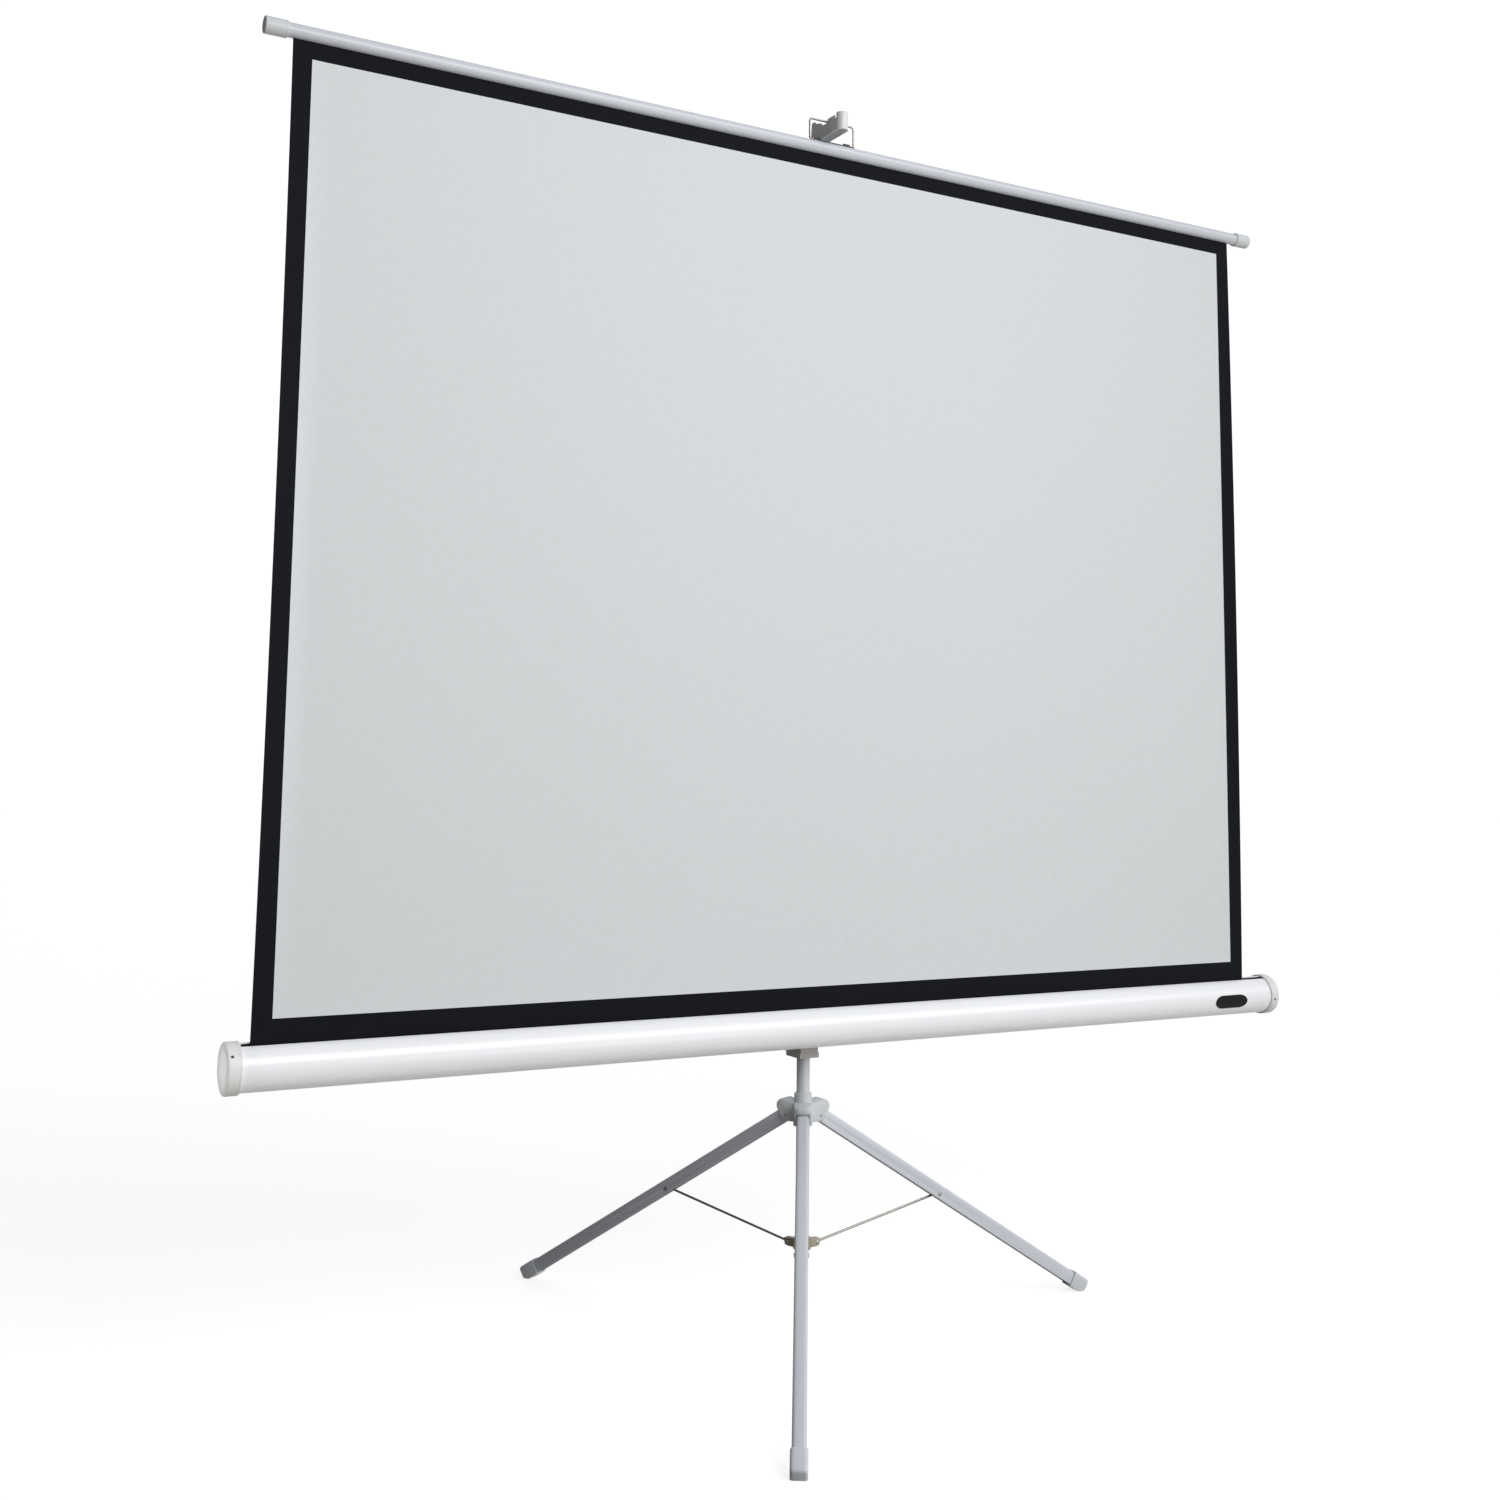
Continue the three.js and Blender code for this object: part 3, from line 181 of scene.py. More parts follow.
def grain_group() -> bpy.types.NodeTree:
    """Build the fine relief of a sprayed coat or a moulded skin.

    Returns:
        A shader group with a Height output.
    """
    build = NodeTree("surface_grain", "ShaderNodeTree")
    build.socket("Vector", "NodeSocketVector")
    build.socket("Scale", "NodeSocketFloat", value=500.0)
    build.socket("Height", "NodeSocketFloat", "OUTPUT")
    inlet = build.node("NodeGroupInput")
    outlet = build.node("NodeGroupOutput")
    soft = build.node("ShaderNodeTexNoise")
    soft.inputs["Detail"].default_value = 2.0
    cells = build.node("ShaderNodeTexVoronoi", feature="SMOOTH_F1")
    build.link(inlet.outputs["Vector"], soft.inputs["Vector"])
    build.link(inlet.outputs["Vector"], cells.inputs["Vector"])
    build.link(inlet.outputs["Scale"], soft.inputs["Scale"])
    build.link(build.math("MULTIPLY", inlet.outputs["Scale"], 1.7), cells.inputs["Scale"])
    part = build.math("MULTIPLY", cells.outputs["Distance"], 0.4)
    build.link(build.math("ADD", soft.outputs["Fac"], part), outlet.inputs["Height"])
    return build.tree


def weave_group() -> bpy.types.NodeTree:
    """Build the plain weave of coated cloth, on a UV map in metres.

    Returns:
        A shader group with Height and Thread outputs.
    """
    build = NodeTree("cloth_weave", "ShaderNodeTree")
    build.socket("Vector", "NodeSocketVector")
    build.socket("Pitch", "NodeSocketFloat", value=0.0006)
    build.socket("Height", "NodeSocketFloat", "OUTPUT")
    build.socket("Thread", "NodeSocketFloat", "OUTPUT")
    inlet = build.node("NodeGroupInput")
    outlet = build.node("NodeGroupOutput")
    split = build.node("ShaderNodeSeparateXYZ")
    build.link(inlet.outputs["Vector"], split.inputs[0])
    turns = build.math("DIVIDE", 2 * math.pi, inlet.outputs["Pitch"])
    warp = build.math("SINE", build.math("MULTIPLY", split.outputs["X"], turns))
    weft = build.math("SINE", build.math("MULTIPLY", split.outputs["Y"], turns))
    build.link(build.math("MAXIMUM", warp, weft), outlet.inputs["Height"])
    slub = build.node("ShaderNodeTexNoise")
    slub.inputs["Scale"].default_value = 60.0
    slub.inputs["Detail"].default_value = 3.0
    build.link(inlet.outputs["Vector"], slub.inputs["Vector"])
    build.link(slub.outputs["Fac"], outlet.inputs["Thread"])
    return build.tree


class Groups:
    """Shader groups that several finishes share, each built once."""

    mottle: bpy.types.NodeTree
    grain: bpy.types.NodeTree
    weave: bpy.types.NodeTree

    @classmethod
    def build(cls) -> None:
        """Build every shared group."""
        cls.mottle = mottle_group()
        cls.grain = grain_group()
        cls.weave = weave_group()


@dataclass(frozen=True)
class Finish:
    """A hard finish: a coat, a moulding or bare metal."""

    name: str
    colour: Colour
    shade: Colour
    roughness: float
    metallic: float = 0.0
    coat: float = 0.0
    amount: float = 0.35
    spread: float = 0.12
    mottle_scale: float = 7.0
    grain_scale: float = 600.0
    grain_depth: float = 0.08
    gloss: float = 0.5
    stretch: Point = (1.0, 1.0, 1.0)

    def material(self) -> bpy.types.Material:
        """Find or build the material.

        Returns:
            The material of this finish.
        """
        known = bpy.data.materials.get(self.name)
        return known or self._built()

    def _built(self) -> bpy.types.Material:
        """Build the material's nodes.

        Returns:
            The new material.
        """
        made = bpy.data.materials.new(self.name)
        made.use_nodes = True
        nodes, links = made.node_tree.nodes, made.node_tree.links
        shader = nodes["Principled BSDF"]
        shader.inputs["Metallic"].default_value = self.metallic
        shader.inputs["Specular IOR Level"].default_value = self.gloss
        shader.inputs["Coat Weight"].default_value = self.coat
        shader.inputs["Coat Roughness"].default_value = 0.12
        place = nodes.new("ShaderNodeTexCoord")
        turn = nodes.new("ShaderNodeMapping")
        turn.inputs["Scale"].default_value = self.stretch
        links.new(place.outputs["Object"], turn.inputs["Vector"])
        mottle = nodes.new("ShaderNodeGroup")
        mottle.node_tree = Groups.mottle
        links.new(turn.outputs["Vector"], mottle.inputs["Vector"])
        mottle.inputs["Scale"].default_value = self.mottle_scale
        mottle.inputs["Color"].default_value = (*self.colour, 1.0)
        mottle.inputs["Shade"].default_value = (*self.shade, 1.0)
        mottle.inputs["Amount"].default_value = self.amount
        mottle.inputs["Roughness"].default_value = self.roughness
        mottle.inputs["Spread"].default_value = self.spread
        links.new(mottle.outputs["Color"], shader.inputs["Base Color"])
        links.new(mottle.outputs["Roughness"], shader.inputs["Roughness"])
        grain = nodes.new("ShaderNodeGroup")
        grain.node_tree = Groups.grain
        grain.inputs["Scale"].default_value = self.grain_scale
        links.new(turn.outputs["Vector"], grain.inputs["Vector"])
        bump = nodes.new("ShaderNodeBump")
        bump.inputs["Strength"].default_value = self.grain_depth
        bump.inputs["Distance"].default_value = 0.0004
        links.new(grain.outputs["Height"], bump.inputs["Height"])
        links.new(bump.outputs["Normal"], shader.inputs["Normal"])
        return made


@dataclass(frozen=True)
class ClothFinish:
    """A coated cloth, woven on the piece's UV map."""

    name: str
    colour: Colour
    shade: Colour
    roughness: float = 0.85
    pitch: float = 0.0007
    relief: float = 0.12
    sheen: float = 0.0

    def material(self) -> bpy.types.Material:
        """Find or build the material.

        Returns:
            The material of this cloth.
        """
        known = bpy.data.materials.get(self.name)
        return known or self._built()

    def _built(self) -> bpy.types.Material:
        """Build the material's nodes.

        Returns:
            The new material.
        """
        made = bpy.data.materials.new(self.name)
        made.use_nodes = True
        nodes, links = made.node_tree.nodes, made.node_tree.links
        shader = nodes["Principled BSDF"]
        shader.inputs["Sheen Weight"].default_value = self.sheen
        shader.inputs["Specular IOR Level"].default_value = 0.12
        place = nodes.new("ShaderNodeUVMap")
        place.uv_map = "cloth_metres"
        weave = nodes.new("ShaderNodeGroup")
        weave.node_tree = Groups.weave
        weave.inputs["Pitch"].default_value = self.pitch
        links.new(place.outputs["UV"], weave.inputs["Vector"])
        mottle = nodes.new("ShaderNodeGroup")
        mottle.node_tree = Groups.mottle
        links.new(place.outputs["UV"], mottle.inputs["Vector"])
        mottle.inputs["Scale"].default_value = 2.2
        mottle.inputs["Color"].default_value = (*self.colour, 1.0)
        mottle.inputs["Shade"].default_value = (*self.shade, 1.0)
        mottle.inputs["Amount"].default_value = 0.5
        mottle.inputs["Roughness"].default_value = self.roughness
        mottle.inputs["Spread"].default_value = 0.1
        thread = nodes.new("ShaderNodeMix")
        thread.data_type = "RGBA"
        thread.blend_type = "MULTIPLY"
        thread.inputs["Factor"].default_value = 0.06
        links.new(mottle.outputs["Color"], thread.inputs[6])
        links.new(weave.outputs["Thread"], thread.inputs[7])
        links.new(thread.outputs[2], shader.inputs["Base Color"])
        links.new(mottle.outputs["Roughness"], shader.inputs["Roughness"])
        bump = nodes.new("ShaderNodeBump")
        bump.inputs["Strength"].default_value = self.relief
        bump.inputs["Distance"].default_value = 0.0002
        links.new(weave.outputs["Height"], bump.inputs["Height"])
        links.new(bump.outputs["Normal"], shader.inputs["Normal"])
        return made


CASE_COAT = Finish("case_gloss_white", (0.91, 0.92, 0.935), (0.86, 0.87, 0.89), 0.30, coat=0.22,
                   amount=0.25, spread=0.08, grain_scale=420.0, grain_depth=0.05)
# Painted shade: the batten has the same gloss white coat as the case, but here it is given a much darker colour.
BATTEN_COAT_PAINTED_SHADE = Finish("batten_gloss_white", (0.585, 0.61, 0.65), (0.545, 0.57, 0.61), 0.32, coat=0.12,
                     amount=0.25, spread=0.08, grain_scale=420.0, grain_depth=0.05)
CAP_SKIN = Finish("cap_off_white", (0.80, 0.80, 0.785), (0.72, 0.715, 0.70), 0.42, grain_scale=1400.0,
                  grain_depth=0.12, mottle_scale=16.0)
# Painted shade: a darker copy of the caps' off-white plastic for the batten's caps.
BATTEN_CAP_SKIN_PAINTED_SHADE = Finish("batten_cap_grey_white", (0.635, 0.66, 0.675), (0.575, 0.595, 0.605), 0.42,
                         grain_scale=1400.0, grain_depth=0.12, mottle_scale=16.0)
FOOT_SKIN = Finish("foot_grey_plastic", (0.60, 0.635, 0.67), (0.54, 0.57, 0.60), 0.40, grain_scale=1400.0,
                   grain_depth=0.12, mottle_scale=16.0)
LEG_COAT = Finish("leg_grey_white", (0.60, 0.625, 0.67), (0.53, 0.555, 0.605), 0.30, coat=0.2,
                  grain_scale=500.0, grain_depth=0.06)
HUB_SKIN = Finish("hub_grey_plastic", (0.60, 0.63, 0.64), (0.51, 0.535, 0.545), 0.40, grain_scale=1300.0,
                  grain_depth=0.12, mottle_scale=22.0)
# The bracket's plastic is painted darker and warmer than its own colour: painted shade under the case and a painted
# warm reflection of the floor.
BRACKET_SKIN_PAINTED_SHADE = Finish("bracket_beige_plastic", (0.50, 0.485, 0.46), (0.42, 0.405, 0.38), 0.45, grain_scale=1300.0,
                      grain_depth=0.12, mottle_scale=22.0)
COLLAR_ZINC = Finish("collar_zinc_plate", (0.50, 0.46, 0.37), (0.34, 0.29, 0.21), 0.34, metallic=0.85, amount=0.6,
                     spread=0.2, mottle_scale=70.0, grain_scale=1600.0)
ARM_COAT = Finish("arm_grey_coat", (0.72, 0.735, 0.745), (0.63, 0.64, 0.65), 0.34, coat=0.15,
                  mottle_scale=30.0, grain_scale=700.0)
BARE_STEEL = Finish("drawn_steel", (0.42, 0.39, 0.36), (0.25, 0.22, 0.20), 0.26, metallic=1.0, amount=0.6,
                    spread=0.25, mottle_scale=60.0, grain_scale=1500.0, stretch=(1.0, 1.0, 0.25))
PIN_STEEL = Finish("pin_steel", (0.48, 0.47, 0.46), (0.30, 0.29, 0.28), 0.35, metallic=1.0,
                   mottle_scale=120.0, grain_scale=2400.0)
BLACK_COAT = Finish("black_coat", (0.022, 0.022, 0.025), (0.045, 0.043, 0.042), 0.42, amount=0.5,
                    mottle_scale=60.0, grain_scale=1100.0, grain_depth=0.2)
BADGE_FACE = Finish("badge_dark_face", (0.010, 0.011, 0.012), (0.018, 0.020, 0.021), 0.30, gloss=0.12,
                    mottle_scale=40.0, grain_scale=900.0, grain_depth=0.06)
ROLLER_METAL = Finish("roller_mill_metal", (0.60, 0.61, 0.62), (0.45, 0.46, 0.47), 0.38, metallic=0.9,
                      spread=0.3, stretch=(0.15, 1.0, 1.0), mottle_scale=40.0)
CLOTH_WHITE = ClothFinish("cloth_matte_white", (0.705, 0.727, 0.738), (0.68, 0.70, 0.71))
CLOTH_BLACK = ClothFinish("cloth_black_border", (0.0052, 0.0064, 0.0098), (0.0075, 0.0088, 0.0125), 0.8, relief=0.2)
CLOTH_BACK = ClothFinish("cloth_black_back", (0.02, 0.02, 0.021), (0.028, 0.028, 0.029), 0.8, relief=0.25)


def corners(node: str) -> tuple[Vector, Vector]:
    """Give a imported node's lowest and highest corners."""
    low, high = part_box(node)
    return Vector(low), Vector(high)


def middle(node: str) -> Vector:
    """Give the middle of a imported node's box."""
    low, high = corners(node)
    return (low + high) / 2


def placed(name: str, build: bmesh.types.BMesh, finish: Finish | None = None,
           sharp: float = 34.0) -> bpy.types.Object:
    """Turn a finished bmesh into an object at the origin, with outward faces and soft shading.

    Args:
        name: The piece's name.
        build: The mesh, which is freed.
        finish: The finish, or None where the faces' materials are set later.
        sharp: Edges sharper than this, in degrees, stay crisp.

    Returns:
        The new object.
    """
    bmesh.ops.recalc_face_normals(build, faces=build.faces)
    mesh = bpy.data.meshes.new(name)
    build.to_mesh(mesh)
    build.free()
    mesh.shade_smooth()
    mesh.set_sharp_from_angle(angle=math.radians(sharp))
    made = bpy.data.objects.new(name, mesh)
    bpy.context.scene.collection.objects.link(made)
    if finish is not None:
        mesh.materials.append(finish.material())
    return made


def turned(name: str, profile: Profile, centre: Point, along: Along, finish: Finish,
           segments: int = 96) -> bpy.types.Object:
    """Turn a profile about an axis.

    Args:
        name: The piece's name.
        profile: Pairs of radius and distance along the axis. It starts and ends on the axis or closes on itself.
        centre: The axis's zero point.
        along: The axis.
        finish: The piece's finish.
        segments: Facets round the axis.

    Returns:
        The new object.
    """
    build = bmesh.new()
    main = along.value
    first, second = (main + 1) % 3, (main + 2) % 3
    closed = profile[0] == profile[-1]
    points = profile[:-1] if closed else profile
    rings: list[list[bmesh.types.BMVert]] = []
    for radius, distance in points:
        count = segments if radius > 1e-7 else 1
        ring = []
        for step in range(count):
            angle = 2 * math.pi * step / segments
            spot = list(centre)
            spot[main] += distance
            spot[first] += radius * math.cos(angle)
            spot[second] += radius * math.sin(angle)
            ring.append(build.verts.new(spot))
        rings.append(ring)
    pairs = list(zip(rings, rings[1:]))
    if closed:
        pairs.append((rings[-1], rings[0]))
    for low, high in pairs:
        for step in range(segments):
            after = (step + 1) % segments
            corners = [low[step % len(low)], low[after % len(low)], high[after % len(high)], high[step % len(high)]]
            distinct = list(dict.fromkeys(corners))
            if len(distinct) > 2:
                build.faces.new(distinct)
    return placed(name, build, finish)


def rounded(corner: tuple[float, float], before: tuple[float, float], after: tuple[float, float],
            radius: float, steps: int = 5) -> Profile:
    """Round one corner of a profile with a short curve.

    Args:
        corner: The corner point.
        before: The profile point before it.
        after: The profile point after it.
        radius: How far from the corner the curve starts and ends.
        steps: Points along the curve.

    Returns:
        The points that take the corner's place.
    """
    here = Vector(corner)
    start = here + (Vector(before) - here).normalized() * radius
    end = here + (Vector(after) - here).normalized() * radius
    points = []
    for step in range(steps + 1):
        t = step / steps
        spot = start * (1 - t) ** 2 + here * 2 * t * (1 - t) + end * t ** 2
        points.append((spot.x, spot.y))
    return points


def slotted_tube(node: str, axis: Vector, radius: float, wall: float, start: float, sweep: float,
                 finish: Finish) -> bpy.types.Object:
    """Sweep a round wall with an open slot and rounded lips along X.

    Args:
        node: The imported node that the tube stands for.
        axis: A point on the tube's axis.
        radius: Outer radius.
        wall: Thickness of the wall.
        start: Angle of the first lip, from Y towards Z.
        sweep: Angle from the first lip round to the second.
        finish: The tube's finish.

    Returns:
        The new object.
    """
    low, high = corners(node)
    count = 120
    centre = radius - wall / 2
    section: Profile = []
    for side in (1, -1):
        reach = centre + side * wall / 2
        for step in range(count + 1)[::side]:
            angle = start + sweep * step / count
            section.append((reach * math.cos(angle), reach * math.sin(angle)))
        end = start + sweep if side > 0 else start
        for step in range(1, 6):
            turn = math.pi * step / 6
            bend = centre + side * wall / 2 * math.cos(turn)
            angle = end + side * wall / 2 / centre * math.sin(turn)
            section.append((bend * math.cos(angle), bend * math.sin(angle)))
    build = bmesh.new()
    ends = [[build.verts.new((x, axis.y + y, axis.z + z)) for y, z in section] for x in (low.x, high.x)]
    size = len(section)
    for step in range(size):
        after = (step + 1) % size
        build.faces.new((ends[0][step], ends[0][after], ends[1][after], ends[1][step]))
    for ring in ends:
        build.faces.new(ring)
    made = placed(f"{node}_dressed", build, finish)
    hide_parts(node)
    return made


def end_cap(node: str, way: int, axis: Vector, inner: float, end: float, edge: float,
            dish: float, finish: Finish) -> bpy.types.Object:
    """Turn a push-on cap: a cup with a rounded rim, a slightly dished face and a lip at its mouth.

    Args:
        node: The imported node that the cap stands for.
        way: -1 for a cap on the left end, 1 for one on the right end.
        axis: A point on the cap's axis.
        inner: Radius of its room.
        end: Thickness of its face.
        edge: How far the rim's rounding reaches.
        dish: Depth of the dished face.
        finish: The cap's finish.

    Returns:
        The new object.
    """
    low, high = corners(node)
    face = high.x if way > 0 else low.x
    depth = high.x - low.x
    radius = (high.z - low.z) / 2
    lip = (radius - inner) * 0.35
    profile: Profile = [(0.0, dish), (radius * 0.62, dish)]
    profile += rounded((radius * 0.70, dish), (0.0, dish), (radius * 0.74, 0.0), radius * 0.03, 3)
    profile += rounded((radius * 0.74, 0.0), (radius * 0.70, dish), (radius, 0.0), radius * 0.03, 3)
    profile += rounded((radius, 0.0), (0.0, 0.0), (radius, depth), edge, 8)
    profile += [(radius, depth - 5 * lip), (radius - lip * 0.5, depth - 4.6 * lip), (radius - lip * 0.5, depth - 4 * lip),
                (radius, depth - 3.6 * lip)]
    profile += rounded((radius, depth), (radius, 0.0), (inner, depth), lip, 4)
    profile += [(inner, depth), (inner, end), (0.0, end)]
    laid = [(reach, face - way * distance) for reach, distance in profile]
    made = turned(f"{node}_dressed", laid, (0.0, axis.y, axis.z), Along.X, finish, 128)
    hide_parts(node)
    return made


def round_end(build: bmesh.types.BMesh, ahead: Vector, nose: float) -> None:
    """Round the rim of the end that faces ahead, but not where it meets the sole.

    Args:
        build: The mesh that is being built.
        ahead: The way that the end faces.
        nose: Width of the rounding.
    """
    build.normal_update()
    end = max(build.faces, key=lambda face: face.normal.dot(ahead))
    rim = [edge for edge in end.edges if all(face.normal.z > SOLE_FACING for face in edge.link_faces)]
    bmesh.ops.bevel(build, geom=rim, offset=nose, offset_type="OFFSET", segments=6, profile=0.5, affect="EDGES",
                    clamp_overlap=True)


def softened(node: str, finish: Finish, edge: float, name: str | None = None, steps: int = 3,
             ahead: Vector | None = None, nose: float = 0.0) -> bpy.types.Object:
    """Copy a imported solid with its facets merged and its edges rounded.

    Args:
        node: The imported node.
        finish: The piece's finish.
        edge: Width of the rounded edge.
        name: The piece's name, or None for one made from the node's.
        steps: Segments across the rounded edge.
        ahead: The way that a blunt end faces, or None for a solid without one.
        nose: Width of the rounding around that end.

    Returns:
        The new object, which stands for the node.
    """
    build = bmesh.new()
    build.from_mesh(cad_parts[node].data)
    bmesh.ops.remove_doubles(build, verts=build.verts, dist=2e-6)
    bmesh.ops.dissolve_limit(build, angle_limit=math.radians(1.0), verts=build.verts, edges=build.edges)
    if ahead is not None:
        round_end(build, ahead, nose)
    made = placed(name or f"{node}_dressed", build, finish)
    bevel = made.modifiers.new("edge", "BEVEL")
    bevel.width = edge
    bevel.segments = steps
    bevel.limit_method = "ANGLE"
    bevel.angle_limit = math.radians(38)
    settle(made)
    made.data.shade_smooth()
    made.data.set_sharp_from_angle(angle=math.radians(34))
    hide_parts(node)
    return made


def settle(piece: bpy.types.Object) -> None:
    """Apply a piece's modifiers to its mesh."""
    graph = bpy.context.evaluated_depsgraph_get()
    mesh = bpy.data.meshes.new_from_object(piece.evaluated_get(graph))
    piece.modifiers.clear()
    piece.data = mesh


def carried(piece: bpy.types.Object, body: str) -> bpy.types.Object:
    """Let a piece ride on a body and report it.

    Args:
        piece: The finished piece.
        body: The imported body's name.

    Returns:
        The same piece.
    """
    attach(piece, body)
    LOG.info("%s rides on %s with %d faces", piece.name, body, len(piece.data.polygons))
    return piece


def dressed(node: str, finish: Finish) -> None:
    """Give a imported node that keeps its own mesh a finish."""
    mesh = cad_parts[node].data
    mesh.materials.clear()
    mesh.materials.append(finish.material())


@dataclass
class Heads:
    """Domed heads set on points by one Geometry Nodes tree."""

    segments: int = 24
    rings: int = 12
    tree: bpy.types.NodeTree = field(init=False)
    keys: dict[str, str] = field(init=False, default_factory=dict)

    def __post_init__(self) -> None:
        """Build the tree: a dome on every point, turned to the point's facing."""
        build = NodeTree("heads_on_points", "GeometryNodeTree")
        build.socket("Geometry", "NodeSocketGeometry")
        self.keys["Radius"] = build.socket("Radius", "NodeSocketFloat", value=0.004)
        self.keys["Height"] = build.socket("Height", "NodeSocketFloat", value=0.002)
        self.keys["Material"] = build.socket("Material", "NodeSocketMaterial")
        build.socket("Geometry", "NodeSocketGeometry", "OUTPUT")
        inlet = build.node("NodeGroupInput")
        outlet = build.node("NodeGroupOutput")
        dome = build.node("GeometryNodeMeshUVSphere")
        dome.inputs["Segments"].default_value = self.segments
        dome.inputs["Rings"].default_value = self.rings
        dome.inputs["Radius"].default_value = 1.0
        size = build.node("ShaderNodeCombineXYZ")
        build.link(inlet.outputs["Radius"], size.inputs["X"])
        build.link(inlet.outputs["Radius"], size.inputs["Y"])
        build.link(inlet.outputs["Height"], size.inputs["Z"])
        facing = build.node("GeometryNodeInputNamedAttribute", data_type="FLOAT_VECTOR")
        facing.inputs["Name"].default_value = "facing"
        turn = build.node("FunctionNodeAlignRotationToVector", axis="Z")
        build.link(facing.outputs["Attribute"], turn.inputs["Vector"])
        spread = build.node("GeometryNodeInstanceOnPoints")
        build.link(inlet.outputs["Geometry"], spread.inputs["Points"])
        build.link(dome.outputs["Mesh"], spread.inputs["Instance"])
        build.link(turn.outputs["Rotation"], spread.inputs["Rotation"])
        build.link(size.outputs["Vector"], spread.inputs["Scale"])
        real = build.node("GeometryNodeRealizeInstances")
        build.link(spread.outputs["Instances"], real.inputs["Geometry"])
        smooth = build.node("GeometryNodeSetShadeSmooth")
        build.link(real.outputs["Geometry"], smooth.inputs[0])
        paint = build.node("GeometryNodeSetMaterial")
        build.link(smooth.outputs[0], paint.inputs["Geometry"])
        build.link(inlet.outputs["Material"], paint.inputs["Material"])
        build.link(paint.outputs["Geometry"], outlet.inputs[0])
        self.tree = build.tree

    def place(self, name: str, body: str, spots: list[tuple[Vector, Vector]], radius: float, height: float,
              finish: Finish, slot: str) -> bpy.types.Object:
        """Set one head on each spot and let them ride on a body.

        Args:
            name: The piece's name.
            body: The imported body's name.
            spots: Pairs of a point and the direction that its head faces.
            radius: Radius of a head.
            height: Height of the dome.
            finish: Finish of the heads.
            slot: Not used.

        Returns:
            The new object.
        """
        mesh = bpy.data.meshes.new(name)
        mesh.from_pydata([tuple(spot) for spot, _ in spots], [], [])
        facing = mesh.attributes.new("facing", "FLOAT_VECTOR", "POINT")
        for place, (_, way) in enumerate(spots):
            facing.data[place].vector = way
        made = bpy.data.objects.new(name, mesh)
        bpy.context.scene.collection.objects.link(made)
        nodes = made.modifiers.new("heads", "NODES")
        nodes.node_group = self.tree
        nodes[self.keys["Radius"]] = radius
        nodes[self.keys["Height"]] = height
        nodes[self.keys["Material"]] = finish.material()
        settle(made)
        return carried(made, body)


@dataclass
class Wires:
    """Round wire bent along a path by one Geometry Nodes tree."""

    sides: int = 16
    tree: bpy.types.NodeTree = field(init=False)
    keys: dict[str, str] = field(init=False, default_factory=dict)

    def __post_init__(self) -> None:
        """Build the tree: a circle swept along the path's edges, with closed ends."""
        build = NodeTree("wire_on_path", "GeometryNodeTree")
        build.socket("Geometry", "NodeSocketGeometry")
        self.keys["Radius"] = build.socket("Wire Radius", "NodeSocketFloat", value=0.002)
        self.keys["Material"] = build.socket("Material", "NodeSocketMaterial")
        build.socket("Geometry", "NodeSocketGeometry", "OUTPUT")
        inlet = build.node("NodeGroupInput")
        outlet = build.node("NodeGroupOutput")
        line = build.node("GeometryNodeMeshToCurve")
        build.link(inlet.outputs["Geometry"], line.inputs["Mesh"])
        circle = build.node("GeometryNodeCurvePrimitiveCircle")
        circle.inputs["Resolution"].default_value = self.sides
        build.link(inlet.outputs["Wire Radius"], circle.inputs["Radius"])
        sweep = build.node("GeometryNodeCurveToMesh")
        sweep.inputs["Fill Caps"].default_value = True
        build.link(line.outputs["Curve"], sweep.inputs["Curve"])
        build.link(circle.outputs["Curve"], sweep.inputs["Profile Curve"])
        real = build.node("GeometryNodeRealizeInstances")
        build.link(sweep.outputs["Mesh"], real.inputs["Geometry"])
        paint = build.node("GeometryNodeSetMaterial")
        build.link(real.outputs["Geometry"], paint.inputs["Geometry"])
        build.link(inlet.outputs["Material"], paint.inputs["Material"])
        build.link(paint.outputs["Geometry"], outlet.inputs[0])
        self.tree = build.tree

    def bent(self, name: str, path: list[Vector], radius: float, finish: Finish) -> bpy.types.Object:
        """Bend one wire along a path.

        Args:
            name: The piece's name.
            path: Points from one end of the wire to the other.
            radius: The wire's radius.
            finish: Finish of the wire.

        Returns:
            The new object.
        """
        mesh = bpy.data.meshes.new(name)
        mesh.from_pydata([tuple(spot) for spot in path], [(step, step + 1) for step in range(len(path) - 1)], [])
        made = bpy.data.objects.new(name, mesh)
        bpy.context.scene.collection.objects.link(made)
        nodes = made.modifiers.new("wire", "NODES")
        nodes.node_group = self.tree
        nodes[self.keys["Radius"]] = radius
        nodes[self.keys["Material"]] = finish.material()
        settle(made)
        made.data.shade_smooth()
        made.data.set_sharp_from_angle(angle=math.radians(50))
        return made


@dataclass
class Layout:
    """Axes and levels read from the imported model, which every sub-assembly shares."""

    pole: Vector = field(init=False)
    case: Vector = field(init=False)
    roller: Vector = field(init=False)
    batten: Vector = field(init=False)
    cloth_low: Vector = field(init=False)
    cloth_high: Vector = field(init=False)

    def __post_init__(self) -> None:
        """Read the axes from the nodes' boxes. The cloth hangs in the plane of the batten's axis."""
        self.pole = middle("pole_tube")
        self.case = middle("case_cap_left")
        self.roller = middle("roller_tube")
        self.batten = middle("batten_cap_left")
        self.cloth_low, self.cloth_high = corners("cloth")

    def leg_direction(self, leg: str) -> Vector:
        """Give the level direction in which a leg reaches out.

        Args:
            leg: The leg's name.

        Returns:
            A unit vector.
        """
        way = middle(f"foot_{leg}") - self.pole
        way.z = 0.0
        return way.normalized()


